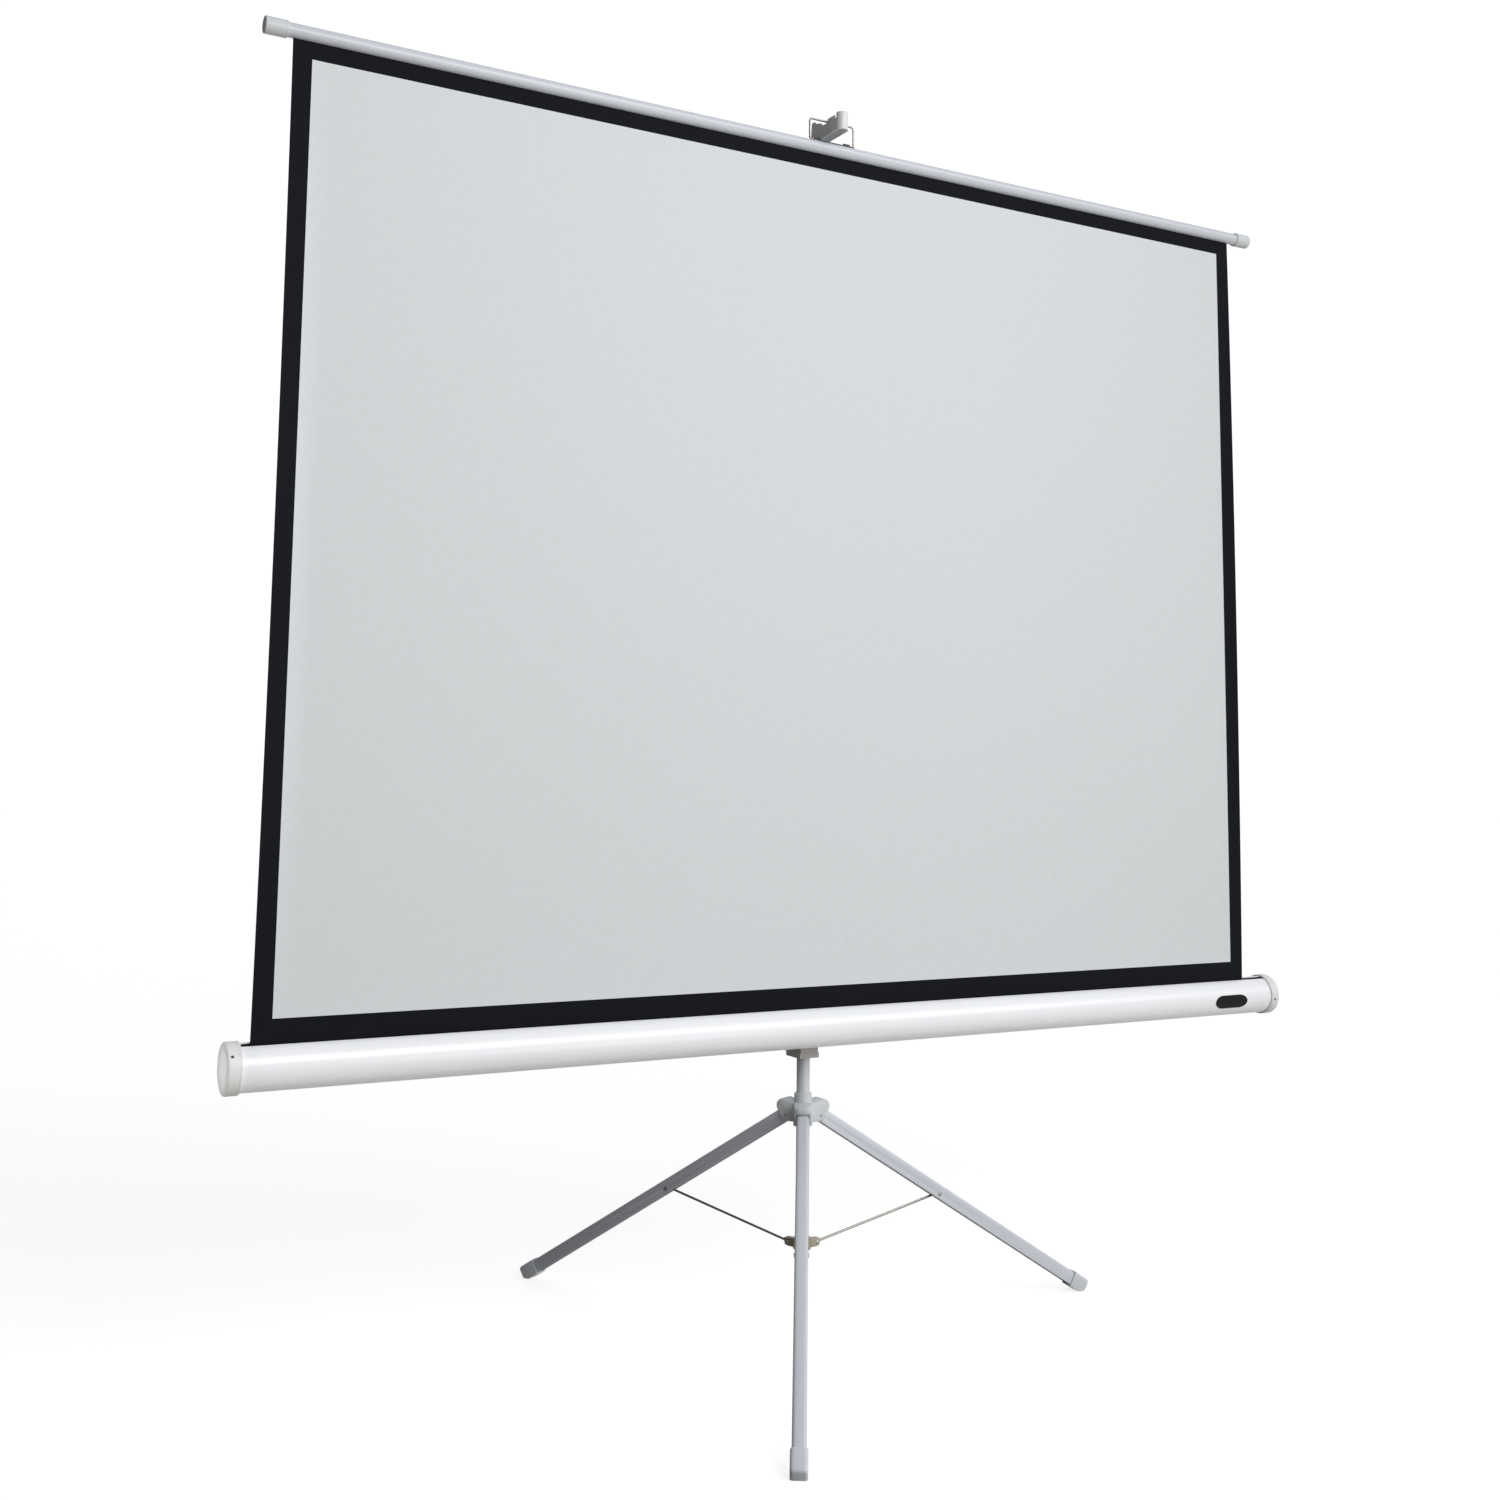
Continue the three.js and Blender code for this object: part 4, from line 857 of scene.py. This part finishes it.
@dataclass
class Case:
    """Slotted case tube with its end caps, roller and bare badge plate."""

    layout: Layout
    heads: Heads
    wires: Wires
    wall: float = 0.0015
    slot_front: float = 0.005
    slot_back: float = 0.007
    fit: float = 0.0003
    cap_face: float = 0.005
    cap_edge: float = 0.004
    screw_radius: float = 0.0024
    badge_half_length: float = 0.045
    badge_half_height: float = 0.0138
    badge_end: float = 0.023
    badge_from_right: float = 0.132
    badge_drop: float = 0.006
    badge_thickness: float = 0.0012
    badge_steps: int = 72
    radius: float = field(init=False)
    cap_radius: float = field(init=False)

    def __post_init__(self) -> None:
        """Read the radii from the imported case."""
        low, high = corners("case_tube")
        self.radius = (high.z - low.z) / 2
        low, high = corners("case_cap_left")
        self.cap_radius = (high.z - low.z) / 2

    def build(self) -> None:
        """Build and dress every piece of the case."""
        self.build_tube()
        for side, way in (("left", -1), ("right", 1)):
            node = f"case_cap_{side}"
            cap = end_cap(node, way, self.layout.case, self.radius + self.fit, self.cap_face, self.cap_edge, 0.0006,
                          CAP_SKIN)
            carried(cap, "screen")
        self.build_screws()
        self.build_badge()
        self.build_roller()
        for node in ("idle_pin", "spring_shaft"):
            carried(softened(node, PIN_STEEL, 0.0004), "screen")

    def build_tube(self) -> None:
        """Sweep the case's wall from the slot's front lip round to its back lip."""
        cloth = self.layout.batten.y - self.layout.case.y
        front = math.acos((cloth - self.slot_front) / self.radius)
        back = math.acos((cloth + self.slot_back) / self.radius)
        sweep = 2 * math.pi - (front - back)
        tube = slotted_tube("case_tube", self.layout.case, self.radius, self.wall, front, sweep, CASE_COAT)
        carried(tube, "screen")

    def build_screws(self) -> None:
        """Sink one small dark screw in each cap's skirt."""
        left, _ = corners("case_cap_left")
        _, right = corners("case_cap_right")
        spots = []
        for x, lift in ((left.x + 0.0065, 34.0), (right.x - 0.013, -10.0)):
            out = Vector((0.0, -math.cos(math.radians(lift)), math.sin(math.radians(lift))))
            spot = Vector((x, self.layout.case.y, self.layout.case.z)) + out * self.cap_radius
            spots.append((spot, out))
        self.heads.place("case_screws", "screen", spots, self.screw_radius, 0.0005, BLACK_COAT, "dark_steel")

    def build_badge(self) -> None:
        """Bend a bare oval plate with a raised rim round the case's front."""
        _, high = corners("case_tube")
        place = high.x - self.badge_from_right
        lean = -self.badge_drop / self.radius
        straight = self.badge_half_length - self.badge_end
        low, top, face = -0.0004, self.badge_thickness, self.badge_thickness * 0.6
        levels = [(0.0, low), (0.0, top * 0.6), (0.0007, top), (0.0022, top), (0.0029, face)]
        levels += [(0.0029 + (self.badge_half_height - 0.0031) * step / 6, face) for step in range(1, 7)]
        build = bmesh.new()
        rings = []
        for inset, rise in levels:
            half_height = self.badge_half_height - inset
            end = self.badge_end - inset
            ring = []
            for step in range(self.badge_steps):
                angle = 2 * math.pi * (step + 0.5) / self.badge_steps
                along = math.copysign(straight, math.cos(angle)) + end * math.cos(angle)
                around = half_height * math.sin(angle) / self.radius + lean
                reach = self.radius + rise
                ring.append(build.verts.new((place + along, self.layout.case.y - reach * math.cos(around),
                                             self.layout.case.z + reach * math.sin(around))))
            rings.append(ring)
        for outer, inner in zip(rings, rings[1:]):
            for step in range(self.badge_steps):
                after = (step + 1) % self.badge_steps
                build.faces.new((outer[step], outer[after], inner[after], inner[step]))
        for ring in (rings[0], rings[-1]):
            for step in range(self.badge_steps // 2 - 1):
                build.faces.new((ring[step], ring[step + 1], ring[-2 - step], ring[-1 - step]))
        carried(placed("case_badge", build, BADGE_FACE), "screen")

    def build_roller(self) -> None:
        """Turn the roller, the cloth left on it and its plugs, and wind the spring."""
        centre = (0.0, self.layout.roller.y, self.layout.roller.z)
        for node, finish in (("roller_tube", ROLLER_METAL), ("cloth_wraps", None)):
            low, high = corners(node)
            radius = (high.z - low.z) / 2
            wall = 0.0012 if finish else 0.0009
            profile = [(radius - wall, low.x), (radius, low.x), (radius, high.x), (radius - wall, high.x),
                       (radius - wall, low.x)]
            piece = turned(f"{node}_dressed", profile, centre, Along.X, finish or ROLLER_METAL, 64)
            if finish is None:
                piece.data.materials[0] = CLOTH_BLACK.material()
                map_metres(piece)
            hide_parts(node)
            carried(piece, "roller")
        for node in ("roller_plug_left", "roller_plug_right", "spring_anchor"):
            carried(softened(node, HUB_SKIN, 0.0006), "roller")
        self.build_spring()

    def build_spring(self) -> None:
        """Wind the roller's spring."""
        low, high = corners("roller_spring")
        wire, turns, steps = 0.0011, 12, 24
        reach = (high.z - low.z) / 2 - wire
        length = high.x - low.x - 2 * wire
        path = []
        for step in range(turns * steps + 1):
            angle = 2 * math.pi * step / steps
            path.append(Vector((low.x + wire + length * step / (turns * steps),
                                self.layout.roller.y + reach * math.cos(angle),
                                self.layout.roller.z + reach * math.sin(angle))))
        spring = self.wires.bent("roller_spring_dressed", path, wire, PIN_STEEL)
        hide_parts("roller_spring")
        carried(spring, "roller")


def map_metres(piece: bpy.types.Object) -> None:
    """Lay a UV map in metres over a cloth piece: across in X, along in the sum of Y and Z."""
    mesh = piece.data
    layer = mesh.uv_layers.new(name="cloth_metres")
    for loop in mesh.loops:
        spot = mesh.vertices[loop.vertex_index].co
        layer.data[loop.index].uv = (spot.x, spot.z + spot.y)


@dataclass
class Cloth:
    """Taut cloth with a printed black border; its side hems roll forward a little."""

    layout: Layout
    picture_width: float = 2.032
    picture_height: float = 1.557
    border_side: float = 0.033
    border_bottom: float = 0.039
    thickness: float = 0.0006
    lip_height: float = 0.602
    curl_left: float = 0.015
    curl_right: float = 0.006
    curl_reach: float = 0.070
    bead_radius: float = 0.003
    mast_travel: float = 0.63

    def build(self) -> None:
        build = bmesh.new()
        across, up = self.stations()
        metres = build.loops.layers.uv.new("cloth_metres")
        sides = []
        for side in (-1, 1):
            rows = []
            for z in up:
                rows.append([build.verts.new(self.spot(x, z, side)) for x in across])
            sides.append(rows)
        for index, rows in enumerate(sides):
            for row in range(len(up) - 1):
                for column in range(len(across) - 1):
                    corners = [rows[row][column], rows[row][column + 1], rows[row + 1][column + 1], rows[row + 1][column]]
                    face = build.faces.new(corners if index == 0 else corners[::-1])
                    face.material_index = 2 if index else self.print_at(across, up, row, column)
        self.close_edges(build, sides)
        for face in build.faces:
            for loop in face.loops:
                loop[metres].uv = (loop.vert.co.x, loop.vert.co.z)
        sheet = placed("screen_cloth", build, None, 60.0)
        for finish in (CLOTH_WHITE, CLOTH_BLACK, CLOTH_BACK):
            sheet.data.materials.append(finish.material())
        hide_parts("cloth")
        carried(sheet, "screen")
        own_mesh(sheet)

    def stations(self) -> tuple[list[float], list[float]]:
        """List the cloth's columns and rows, with one on each edge of the print.

        Returns:
            The X values and the Z values.
        """
        left, right = self.layout.cloth_low.x, self.layout.cloth_high.x
        edge = [self.curl_reach * step / 16 for step in range(16)]
        half = (right - left) / 2
        middle = (left + right) / 2
        inner = [middle - half + self.curl_reach + (2 * half - 2 * self.curl_reach) * step / 48 for step in range(49)]
        across = sorted({round(x, 6) for x in (
            [left + d for d in edge] + [right - d for d in edge] + inner
            + [left + self.border_side, right - self.border_side])})
        low, high = self.layout.cloth_low.z, self.layout.cloth_high.z - self.bead_radius
        first = self.lip_height + self.border_bottom
        up = sorted({round(z, 6) for z in (
            [low + (first - low) * step / 6 for step in range(6)]
            + [first + self.picture_height * step / 40 for step in range(41)]
            + [first + self.picture_height + (high - first - self.picture_height) * step / 5 for step in range(1, 6)])})
        return across, up

    def spot(self, x: float, z: float, side: int) -> Point:
        """Give one point of the cloth.

        Args:
            x: Place across the cloth.
            z: Height.
            side: -1 for the viewer's face, 1 for the back.

        Returns:
            The point.
        """
        left, right = self.layout.cloth_low.x, self.layout.cloth_high.x
        top = self.lip_height + self.border_bottom + self.picture_height + 0.030
        share = min(1.0, max(0.0, (z - self.lip_height) / (top - self.lip_height)))
        near_left = max(0.0, 1 - (x - left) / self.curl_reach)
        near_right = max(0.0, 1 - (right - x) / self.curl_reach)
        bow = math.sin(math.pi * share) ** 0.8 if 0 < share < 1 else 0.0
        roll = bow * (self.curl_left * near_left ** 2 + self.curl_right * near_right ** 2)
        return (x, self.layout.batten.y - roll + side * self.thickness / 2, z)

    def print_at(self, across: list[float], up: list[float], row: int, column: int) -> int:
        """Tell whether a face is in the picture or the border.

        Args:
            across: The columns' X values.
            up: The rows' Z values.
            row: The face's row.
            column: The face's column.

        Returns:
            0 for the white picture, 1 for the black border.
        """
        x = (across[column] + across[column + 1]) / 2
        z = (up[row] + up[row + 1]) / 2
        middle = (across[0] + across[-1]) / 2
        first = self.lip_height + self.border_bottom
        inside = abs(x - middle) < self.picture_width / 2 and first < z < first + self.picture_height
        return 0 if inside else 1

    def close_edges(self, build: bmesh.types.BMesh, sides: list[list[list[bmesh.types.BMVert]]]) -> None:
        """Close the sheet's four edges.

        Args:
            build: The mesh.
            sides: The front and back grids of points.
        """
        front, back = sides
        rows, columns = len(front), len(front[0])
        ring = [(0, c) for c in range(columns)] + [(r, columns - 1) for r in range(1, rows)]
        ring += [(rows - 1, c) for c in range(columns - 2, -1, -1)] + [(r, 0) for r in range(rows - 2, 0, -1)]
        for (r0, c0), (r1, c1) in zip(ring, ring[1:] + ring[:1]):
            face = build.faces.new((front[r0][c0], back[r0][c0], back[r1][c1], front[r1][c1]))
            face.material_index = 1


@dataclass
class Batten:
    """Top batten with its caps, bail and hook arm."""

    layout: Layout
    wires: Wires
    radius: float = 0.0125
    wall: float = 0.0014
    gap: float = 0.0009
    fit: float = 0.0003
    cap_face: float = 0.004
    cap_edge: float = 0.0022
    wire: float = 0.002
    bail_bend: float = 0.0065
    bail_foot: float = 0.024

    def build(self) -> None:
        """Build and dress the batten, its caps, the bail and the arm."""
        lip = math.asin(self.gap / self.radius)
        tube = slotted_tube("batten_tube", self.layout.batten, self.radius, self.wall, lip - math.pi / 2,
                            2 * math.pi - 2 * lip, BATTEN_COAT_PAINTED_SHADE)
        carried(tube, "mast")
        for side, way in (("left", -1), ("right", 1)):
            node = f"batten_cap_{side}"
            cap = end_cap(node, way, self.layout.batten, self.radius + self.fit, self.cap_face, self.cap_edge, 0.0003,
                          BATTEN_CAP_SKIN_PAINTED_SHADE)
            carried(cap, "mast")
        self.build_bail()
        carried(softened("bail_plate", BLACK_COAT, 0.0004), "mast")
        carried(softened("hook_arm", ARM_COAT, 0.0005), "mast")
        for node in ("arm_rivet_upper", "arm_rivet_lower"):
            carried(softened(node, PIN_STEEL, 0.0003), "mast")

    def build_bail(self) -> None:
        """Bend the wire bail through its corners."""
        low, high = corners("bail_wire")
        left, right = low.x + self.wire, high.x - self.wire
        bottom, top = low.z + self.wire, high.z - self.wire
        turns = [(left + self.bail_foot, bottom), (left, bottom), (left, top), (right, top), (right, bottom),
                 (right - self.bail_foot, bottom)]
        bends = [self.wire * 2.2, self.bail_bend, self.bail_bend, self.wire * 2.2]
        path = [turns[0]]
        for place, bend in enumerate(bends, start=1):
            path += rounded(turns[place], turns[place - 1], turns[place + 1], bend, 8)
        path.append(turns[-1])
        y = (low.y + high.y) / 2
        bail = self.wires.bent("bail_wire_dressed", [Vector((x, y, z)) for x, z in path], self.wire, BARE_STEEL)
        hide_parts("bail_wire")
        carried(bail, "bail")


@dataclass
class Stand:
    """Pole, mast, clamp, bracket and the folding tripod."""

    layout: Layout
    heads: Heads
    pole_radius: float = 0.0125
    mast_radius: float = 0.010
    wall: float = 0.0012
    pin_head: float = 0.0034
    pin_rise: float = 0.0009
    toe: float = 0.0050
    brow_out: float = 0.0470
    brow_lift: float = 0.0346
    brow_half_width: float = 0.0152
    brow_half_height: float = 0.0076
    brow_rise: float = 0.0052
    brow_steps: int = 48
    brow_rings: int = 10

    def build(self) -> None:
        """Build and dress every piece of the stand."""
        self.build_tubes()
        for node, body, edge, finish in (
                ("pole_plug", "pole", 0.0008, HUB_SKIN), ("brace_collar", "pole", 0.0006, COLLAR_ZINC),
                ("mast_clamp", "pole", 0.0008, HUB_SKIN), ("hub", "leg_hub", 0.0007, HUB_SKIN),
                ("bracket_bush", "carriage", 0.0005, BRACKET_SKIN_PAINTED_SHADE), ("case_bracket", "screen", 0.001, BRACKET_SKIN_PAINTED_SHADE),
                ("release_lever", "lever", 0.0009, BRACKET_SKIN_PAINTED_SHADE), ("mast_plug", "mast", 0.0006, HUB_SKIN),
                ("mast_foot", "mast", 0.0006, HUB_SKIN)):
            carried(softened(node, finish, edge), body)
        carried(softened("case_saddle", CAP_SKIN, 0.0012), "screen")
        carried(softened("clamp_knob", BLACK_COAT, 0.0008), "knob")
        for node, body in (("swivel_bolt", "screen"), ("lever_pin", "screen")):
            carried(softened(node, PIN_STEEL, 0.0003), body)
        for leg in LEG_NAMES:
            self.build_leg(leg)

    def build_tubes(self) -> None:
        """Turn the pole and the mast."""
        for node, body, radius in (("pole_tube", "pole", self.pole_radius), ("mast_tube", "mast", self.mast_radius)):
            low, high = corners(node)
            inner = radius - self.wall
            profile = [(inner, low.z), (radius, low.z), (radius, high.z), (inner, high.z), (inner, low.z)]
            centre = (self.layout.pole.x, self.layout.pole.y, 0.0)
            tube = turned(f"{node}_dressed", profile, centre, Along.Z, LEG_COAT, 64)
            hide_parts(node)
            carried(tube, body)

    def build_leg(self, leg: str) -> None:
        """Dress one leg with its foot, rivet, pin and brace.

        Args:
            leg: The leg's name.
        """
        self.build_brow(leg)
        carried(softened(f"leg_{leg}", LEG_COAT, 0.0005), f"{leg}_leg")
        carried(softened(f"foot_{leg}", FOOT_SKIN, 0.0012, ahead=self.layout.leg_direction(leg), nose=self.toe),
                f"{leg}_leg")
        carried(softened(f"leg_rivet_{leg}", PIN_STEEL, 0.0004), f"{leg}_leg")
        carried(softened(f"hub_pin_{leg}", PIN_STEEL, 0.0003), "leg_hub")
        carried(softened(f"brace_{leg}", BARE_STEEL, 0.0005), f"{leg}_brace")
        out = self.layout.leg_direction(leg)
        across = Vector((-out.y, out.x, 0.0))
        low, high = corners("brace_collar")
        fork = self.layout.pole + out * 0.030
        fork.z = (low.z + high.z) / 2 - 0.001
        spots = [(fork + across * side * 0.0056, across * side) for side in (-1, 1)]
        self.heads.place(f"collar_pin_heads_{leg}", "pole", spots, self.pin_head, self.pin_rise, PIN_STEEL, "bare_steel")


    def build_brow(self, leg: str) -> None:
        """Swell the front of one of the hub's hoods into a soft brow above the leg.

        Args:
            leg: The name of the leg under the hood.
        """
        low, _ = corners("hub")
        out = self.layout.leg_direction(leg)
        across = Vector((-out.y, out.x, 0.0))
        base = self.layout.pole + out * self.brow_out
        base.z = low.z + self.brow_lift
        build = bmesh.new()
        rings = []
        for ring in range(self.brow_rings):
            turn = math.pi / 2 * ring / self.brow_rings
            share = math.cos(turn) ** 0.8
            row = []
            for step in range(self.brow_steps):
                angle = 2 * math.pi * step / self.brow_steps
                wide = math.copysign(abs(math.cos(angle)) ** 0.75, math.cos(angle)) * self.brow_half_width
                high = math.copysign(abs(math.sin(angle)) ** 0.75, math.sin(angle)) * self.brow_half_height
                spot = base + across * wide * share + out * self.brow_rise * math.sin(turn)
                row.append(build.verts.new((spot.x, spot.y, spot.z + high * share)))
            rings.append(row)
        for outer, inner in zip(rings, rings[1:]):
            for step in range(self.brow_steps):
                after = (step + 1) % self.brow_steps
                build.faces.new((outer[step], outer[after], inner[after], inner[step]))
        build.faces.new(rings[0])
        crown = build.verts.new(base + out * self.brow_rise)
        for step in range(self.brow_steps):
            build.faces.new((rings[-1][step], rings[-1][(step + 1) % self.brow_steps], crown))
        carried(placed(f"hub_brow_{leg}", build, HUB_SKIN, 60.0), "leg_hub")


@dataclass
class Studio:
    """Pale floor, soft light and the camera."""

    layout: Layout
    floor_reach: float = 40.0
    left_colour: Colour = (0.07, 0.072, 0.076)
    left_high_colour: Colour = (0.26, 0.265, 0.275)
    right_colour: Colour = (0.62, 0.63, 0.655)
    back_left_colour: Colour = (0.10, 0.103, 0.11)
    back_right_colour: Colour = (0.75, 0.76, 0.78)
    ground_left_colour: Colour = (0.13, 0.12, 0.11)
    ground_right_colour: Colour = (0.66, 0.64, 0.625)
    seen_colour: Colour = (1.05, 1.05, 1.05)
    floor_glow: float = 0.74
    window_strength: float = 0.6
    window_spread: float = math.radians(26)
    window_turn: float = math.radians(34)
    window_lift: float = math.radians(26)
    accent_power: float = 26.0
    accent_cone: float = math.radians(6.5)
    accent_from_end: Point = (-0.9, -0.12, 0.06)
    camera_from_pole: Point = (-1.6934, -2.792476, 1.0272)
    yaw: float = math.radians(29.20)
    pitch: float = math.radians(6.42)
    roll: float = math.radians(0.65)
    focal_pixels: float = 1693.88
    image_size: float = 1500.0
    principal: tuple[float, float] = (747.06, 583.88)
    sensor: float = 36.0

    def build(self) -> None:
        """Build the floor, the light and the camera."""
        self.build_floor()
        self.build_light()
        self.build_camera()
        scene = bpy.context.scene
        scene.view_settings.view_transform = "Standard"

    def build_floor(self) -> None:
        """Lay one pale sheet, which takes shadows and throws no light back up at the object."""
        build = bmesh.new()
        reach = self.floor_reach
        corners = [build.verts.new((x, y, 0.0)) for x, y in
                   ((-reach, -reach), (reach, -reach), (reach, reach), (-reach, reach))]
        build.faces.new(corners)
        finish = Finish("studio_floor", (0.45, 0.45, 0.447), (0.43, 0.43, 0.427), 0.75, mottle_scale=0.6,
                        amount=0.3, grain_scale=40.0, grain_depth=0.02)
        floor = placed("studio_floor", build, finish)
        glow = floor.data.materials[0].node_tree.nodes["Principled BSDF"].inputs
        glow["Emission Color"].default_value = (1.0, 1.0, 1.0, 1.0)
        glow["Emission Strength"].default_value = self.floor_glow
        floor.visible_diffuse = False
        floor.visible_glossy = False

    def build_light(self) -> None:
        """Set a soft key in front of the screen, white beyond it, a dimmer room behind the camera."""
        world = bpy.data.worlds.new("studio_surround")
        bpy.context.scene.world = world
        world.use_nodes = True
        nodes, links = world.node_tree.nodes, world.node_tree.links
        way = nodes.new("ShaderNodeTexCoord")
        split = nodes.new("ShaderNodeSeparateXYZ")
        links.new(way.outputs["Generated"], split.inputs[0])
        side = self.ramp(nodes, links, split.outputs["X"], -0.7, 0.6)
        depth = self.ramp(nodes, links, split.outputs["Y"], -0.1, 0.5)
        height = self.ramp(nodes, links, split.outputs["Z"], -0.06, -0.01)
        lift = self.ramp(nodes, links, split.outputs["Z"], 0.2, 0.75)
        left = self.blend(nodes, links, lift, self.left_colour, self.left_high_colour)
        front = self.blend(nodes, links, side, left, self.right_colour)
        back = self.blend(nodes, links, side, self.back_left_colour, self.back_right_colour)
        room = self.blend(nodes, links, depth, front, back)
        ground = self.blend(nodes, links, side, self.ground_left_colour, self.ground_right_colour)
        lit = self.blend(nodes, links, height, ground, room)
        rays = nodes.new("ShaderNodeLightPath")
        shown = self.blend(nodes, links, rays.outputs["Is Camera Ray"], lit, self.seen_colour)
        links.new(shown, nodes["Background"].inputs["Color"])
        for name, spot, aim, size, power in (
                ("key", (0.0, -3.1, 2.6), (0.1, 0.0, 1.4), 1.8, 46.0),
                ("fill", (0.9, -3.4, 0.35), (0.0, 0.0, 0.5), 1.5, 14.0)):
            lamp = bpy.data.lights.new(name, "AREA")
            lamp.size = size
            lamp.energy = power
            holder = bpy.data.objects.new(name, lamp)
            holder.location = spot
            holder.rotation_euler = (Vector(aim) - Vector(spot)).to_track_quat("-Z", "Y").to_euler()
            bpy.context.scene.collection.objects.link(holder)
        self.build_accent()
        window = bpy.data.lights.new("window", "SUN")
        window.energy = self.window_strength
        window.angle = self.window_spread
        holder = bpy.data.objects.new("window", window)
        turn, lift = self.window_turn, self.window_lift
        toward = Vector((-math.sin(turn) * math.cos(lift), math.cos(turn) * math.cos(lift), -math.sin(lift)))
        holder.rotation_euler = toward.to_track_quat("-Z", "Y").to_euler()
        bpy.context.scene.collection.objects.link(holder)

    def build_accent(self) -> None:
        """Aim a narrow spot at the left end of the case, which faces the dim side of the room."""
        low, _ = corners("case_cap_left")
        aim = Vector((low.x, self.layout.case.y, self.layout.case.z))
        spot = bpy.data.lights.new("accent", "SPOT")
        spot.energy = self.accent_power
        spot.spot_size = self.accent_cone
        spot.spot_blend = 0.4
        spot.shadow_soft_size = 0.03
        holder = bpy.data.objects.new("accent", spot)
        holder.location = aim + Vector(self.accent_from_end)
        holder.rotation_euler = (aim - holder.location).to_track_quat("-Z", "Y").to_euler()
        bpy.context.scene.collection.objects.link(holder)

    def ramp(self, nodes: bpy.types.Nodes, links: bpy.types.NodeLinks, value: bpy.types.NodeSocket, low: float,
             high: float) -> bpy.types.NodeSocket:
        """Add a smooth step of the surround.

        Args:
            nodes: The world's nodes.
            links: The world's links.
            value: The socket that it follows.
            low: Value at which it starts.
            high: Value at which it ends.

        Returns:
            The step, from 0 to 1.
        """
        made = nodes.new("ShaderNodeMapRange")
        made.interpolation_type = "SMOOTHSTEP"
        made.inputs["From Min"].default_value = low
        made.inputs["From Max"].default_value = high
        links.new(value, made.inputs["Value"])
        return made.outputs["Result"]

    def blend(self, nodes: bpy.types.Nodes, links: bpy.types.NodeLinks, share: bpy.types.NodeSocket,
              first: Colour | bpy.types.NodeSocket, second: Colour | bpy.types.NodeSocket) -> bpy.types.NodeSocket:
        """Mix two colours of the surround.

        Args:
            nodes: The world's nodes.
            links: The world's links.
            share: How much of the second colour there is.
            first: A colour or a socket.
            second: A colour or a socket.

        Returns:
            The mixed colour.
        """
        made = nodes.new("ShaderNodeMix")
        made.data_type = "RGBA"
        links.new(share, made.inputs["Factor"])
        for place, colour in ((6, first), (7, second)):
            if isinstance(colour, bpy.types.NodeSocket):
                links.new(colour, made.inputs[place])
            else:
                made.inputs[place].default_value = (*colour, 1.0)
        return made.outputs[2]

    def build_camera(self) -> None:
        """Set the camera where the photograph was taken from."""
        lens = bpy.data.cameras.new("photograph_view")
        lens.sensor_width = self.sensor
        lens.lens = self.focal_pixels / self.image_size * self.sensor
        lens.shift_x = 0.5 - self.principal[0] / self.image_size
        lens.shift_y = self.principal[1] / self.image_size - 0.5
        lens.clip_end = 60.0
        ahead = Vector((math.sin(self.yaw) * math.cos(self.pitch), math.cos(self.yaw) * math.cos(self.pitch),
                        math.sin(self.pitch)))
        right = Vector((math.cos(self.yaw), -math.sin(self.yaw), 0.0))
        up = right.cross(ahead)
        right_rolled = right * math.cos(self.roll) + up * math.sin(self.roll)
        up_rolled = up * math.cos(self.roll) - right * math.sin(self.roll)
        turn = Matrix((right_rolled, up_rolled, -ahead)).transposed().to_4x4()
        holder = bpy.data.objects.new("photograph_view", lens)
        pole = Vector((self.layout.pole.x, self.layout.pole.y, 0.0))
        holder.matrix_world = Matrix.Translation(pole + Vector(self.camera_from_pole)) @ turn
        bpy.context.scene.collection.objects.link(holder)
        bpy.context.scene.camera = holder


def main() -> None:
    """Build the studio, then dress each sub-assembly in turn."""
    logging.basicConfig(level=logging.INFO, format="%(name)s: %(message)s")
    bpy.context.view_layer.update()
    Groups.build()
    layout = Layout()
    Studio(layout).build()
    heads = Heads()
    wires = Wires()
    Case(layout, heads, wires).build()
    Cloth(layout).build()
    Batten(layout, wires).build()
    Stand(layout, heads).build()
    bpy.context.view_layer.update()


if __name__ == "__main__":
    main()
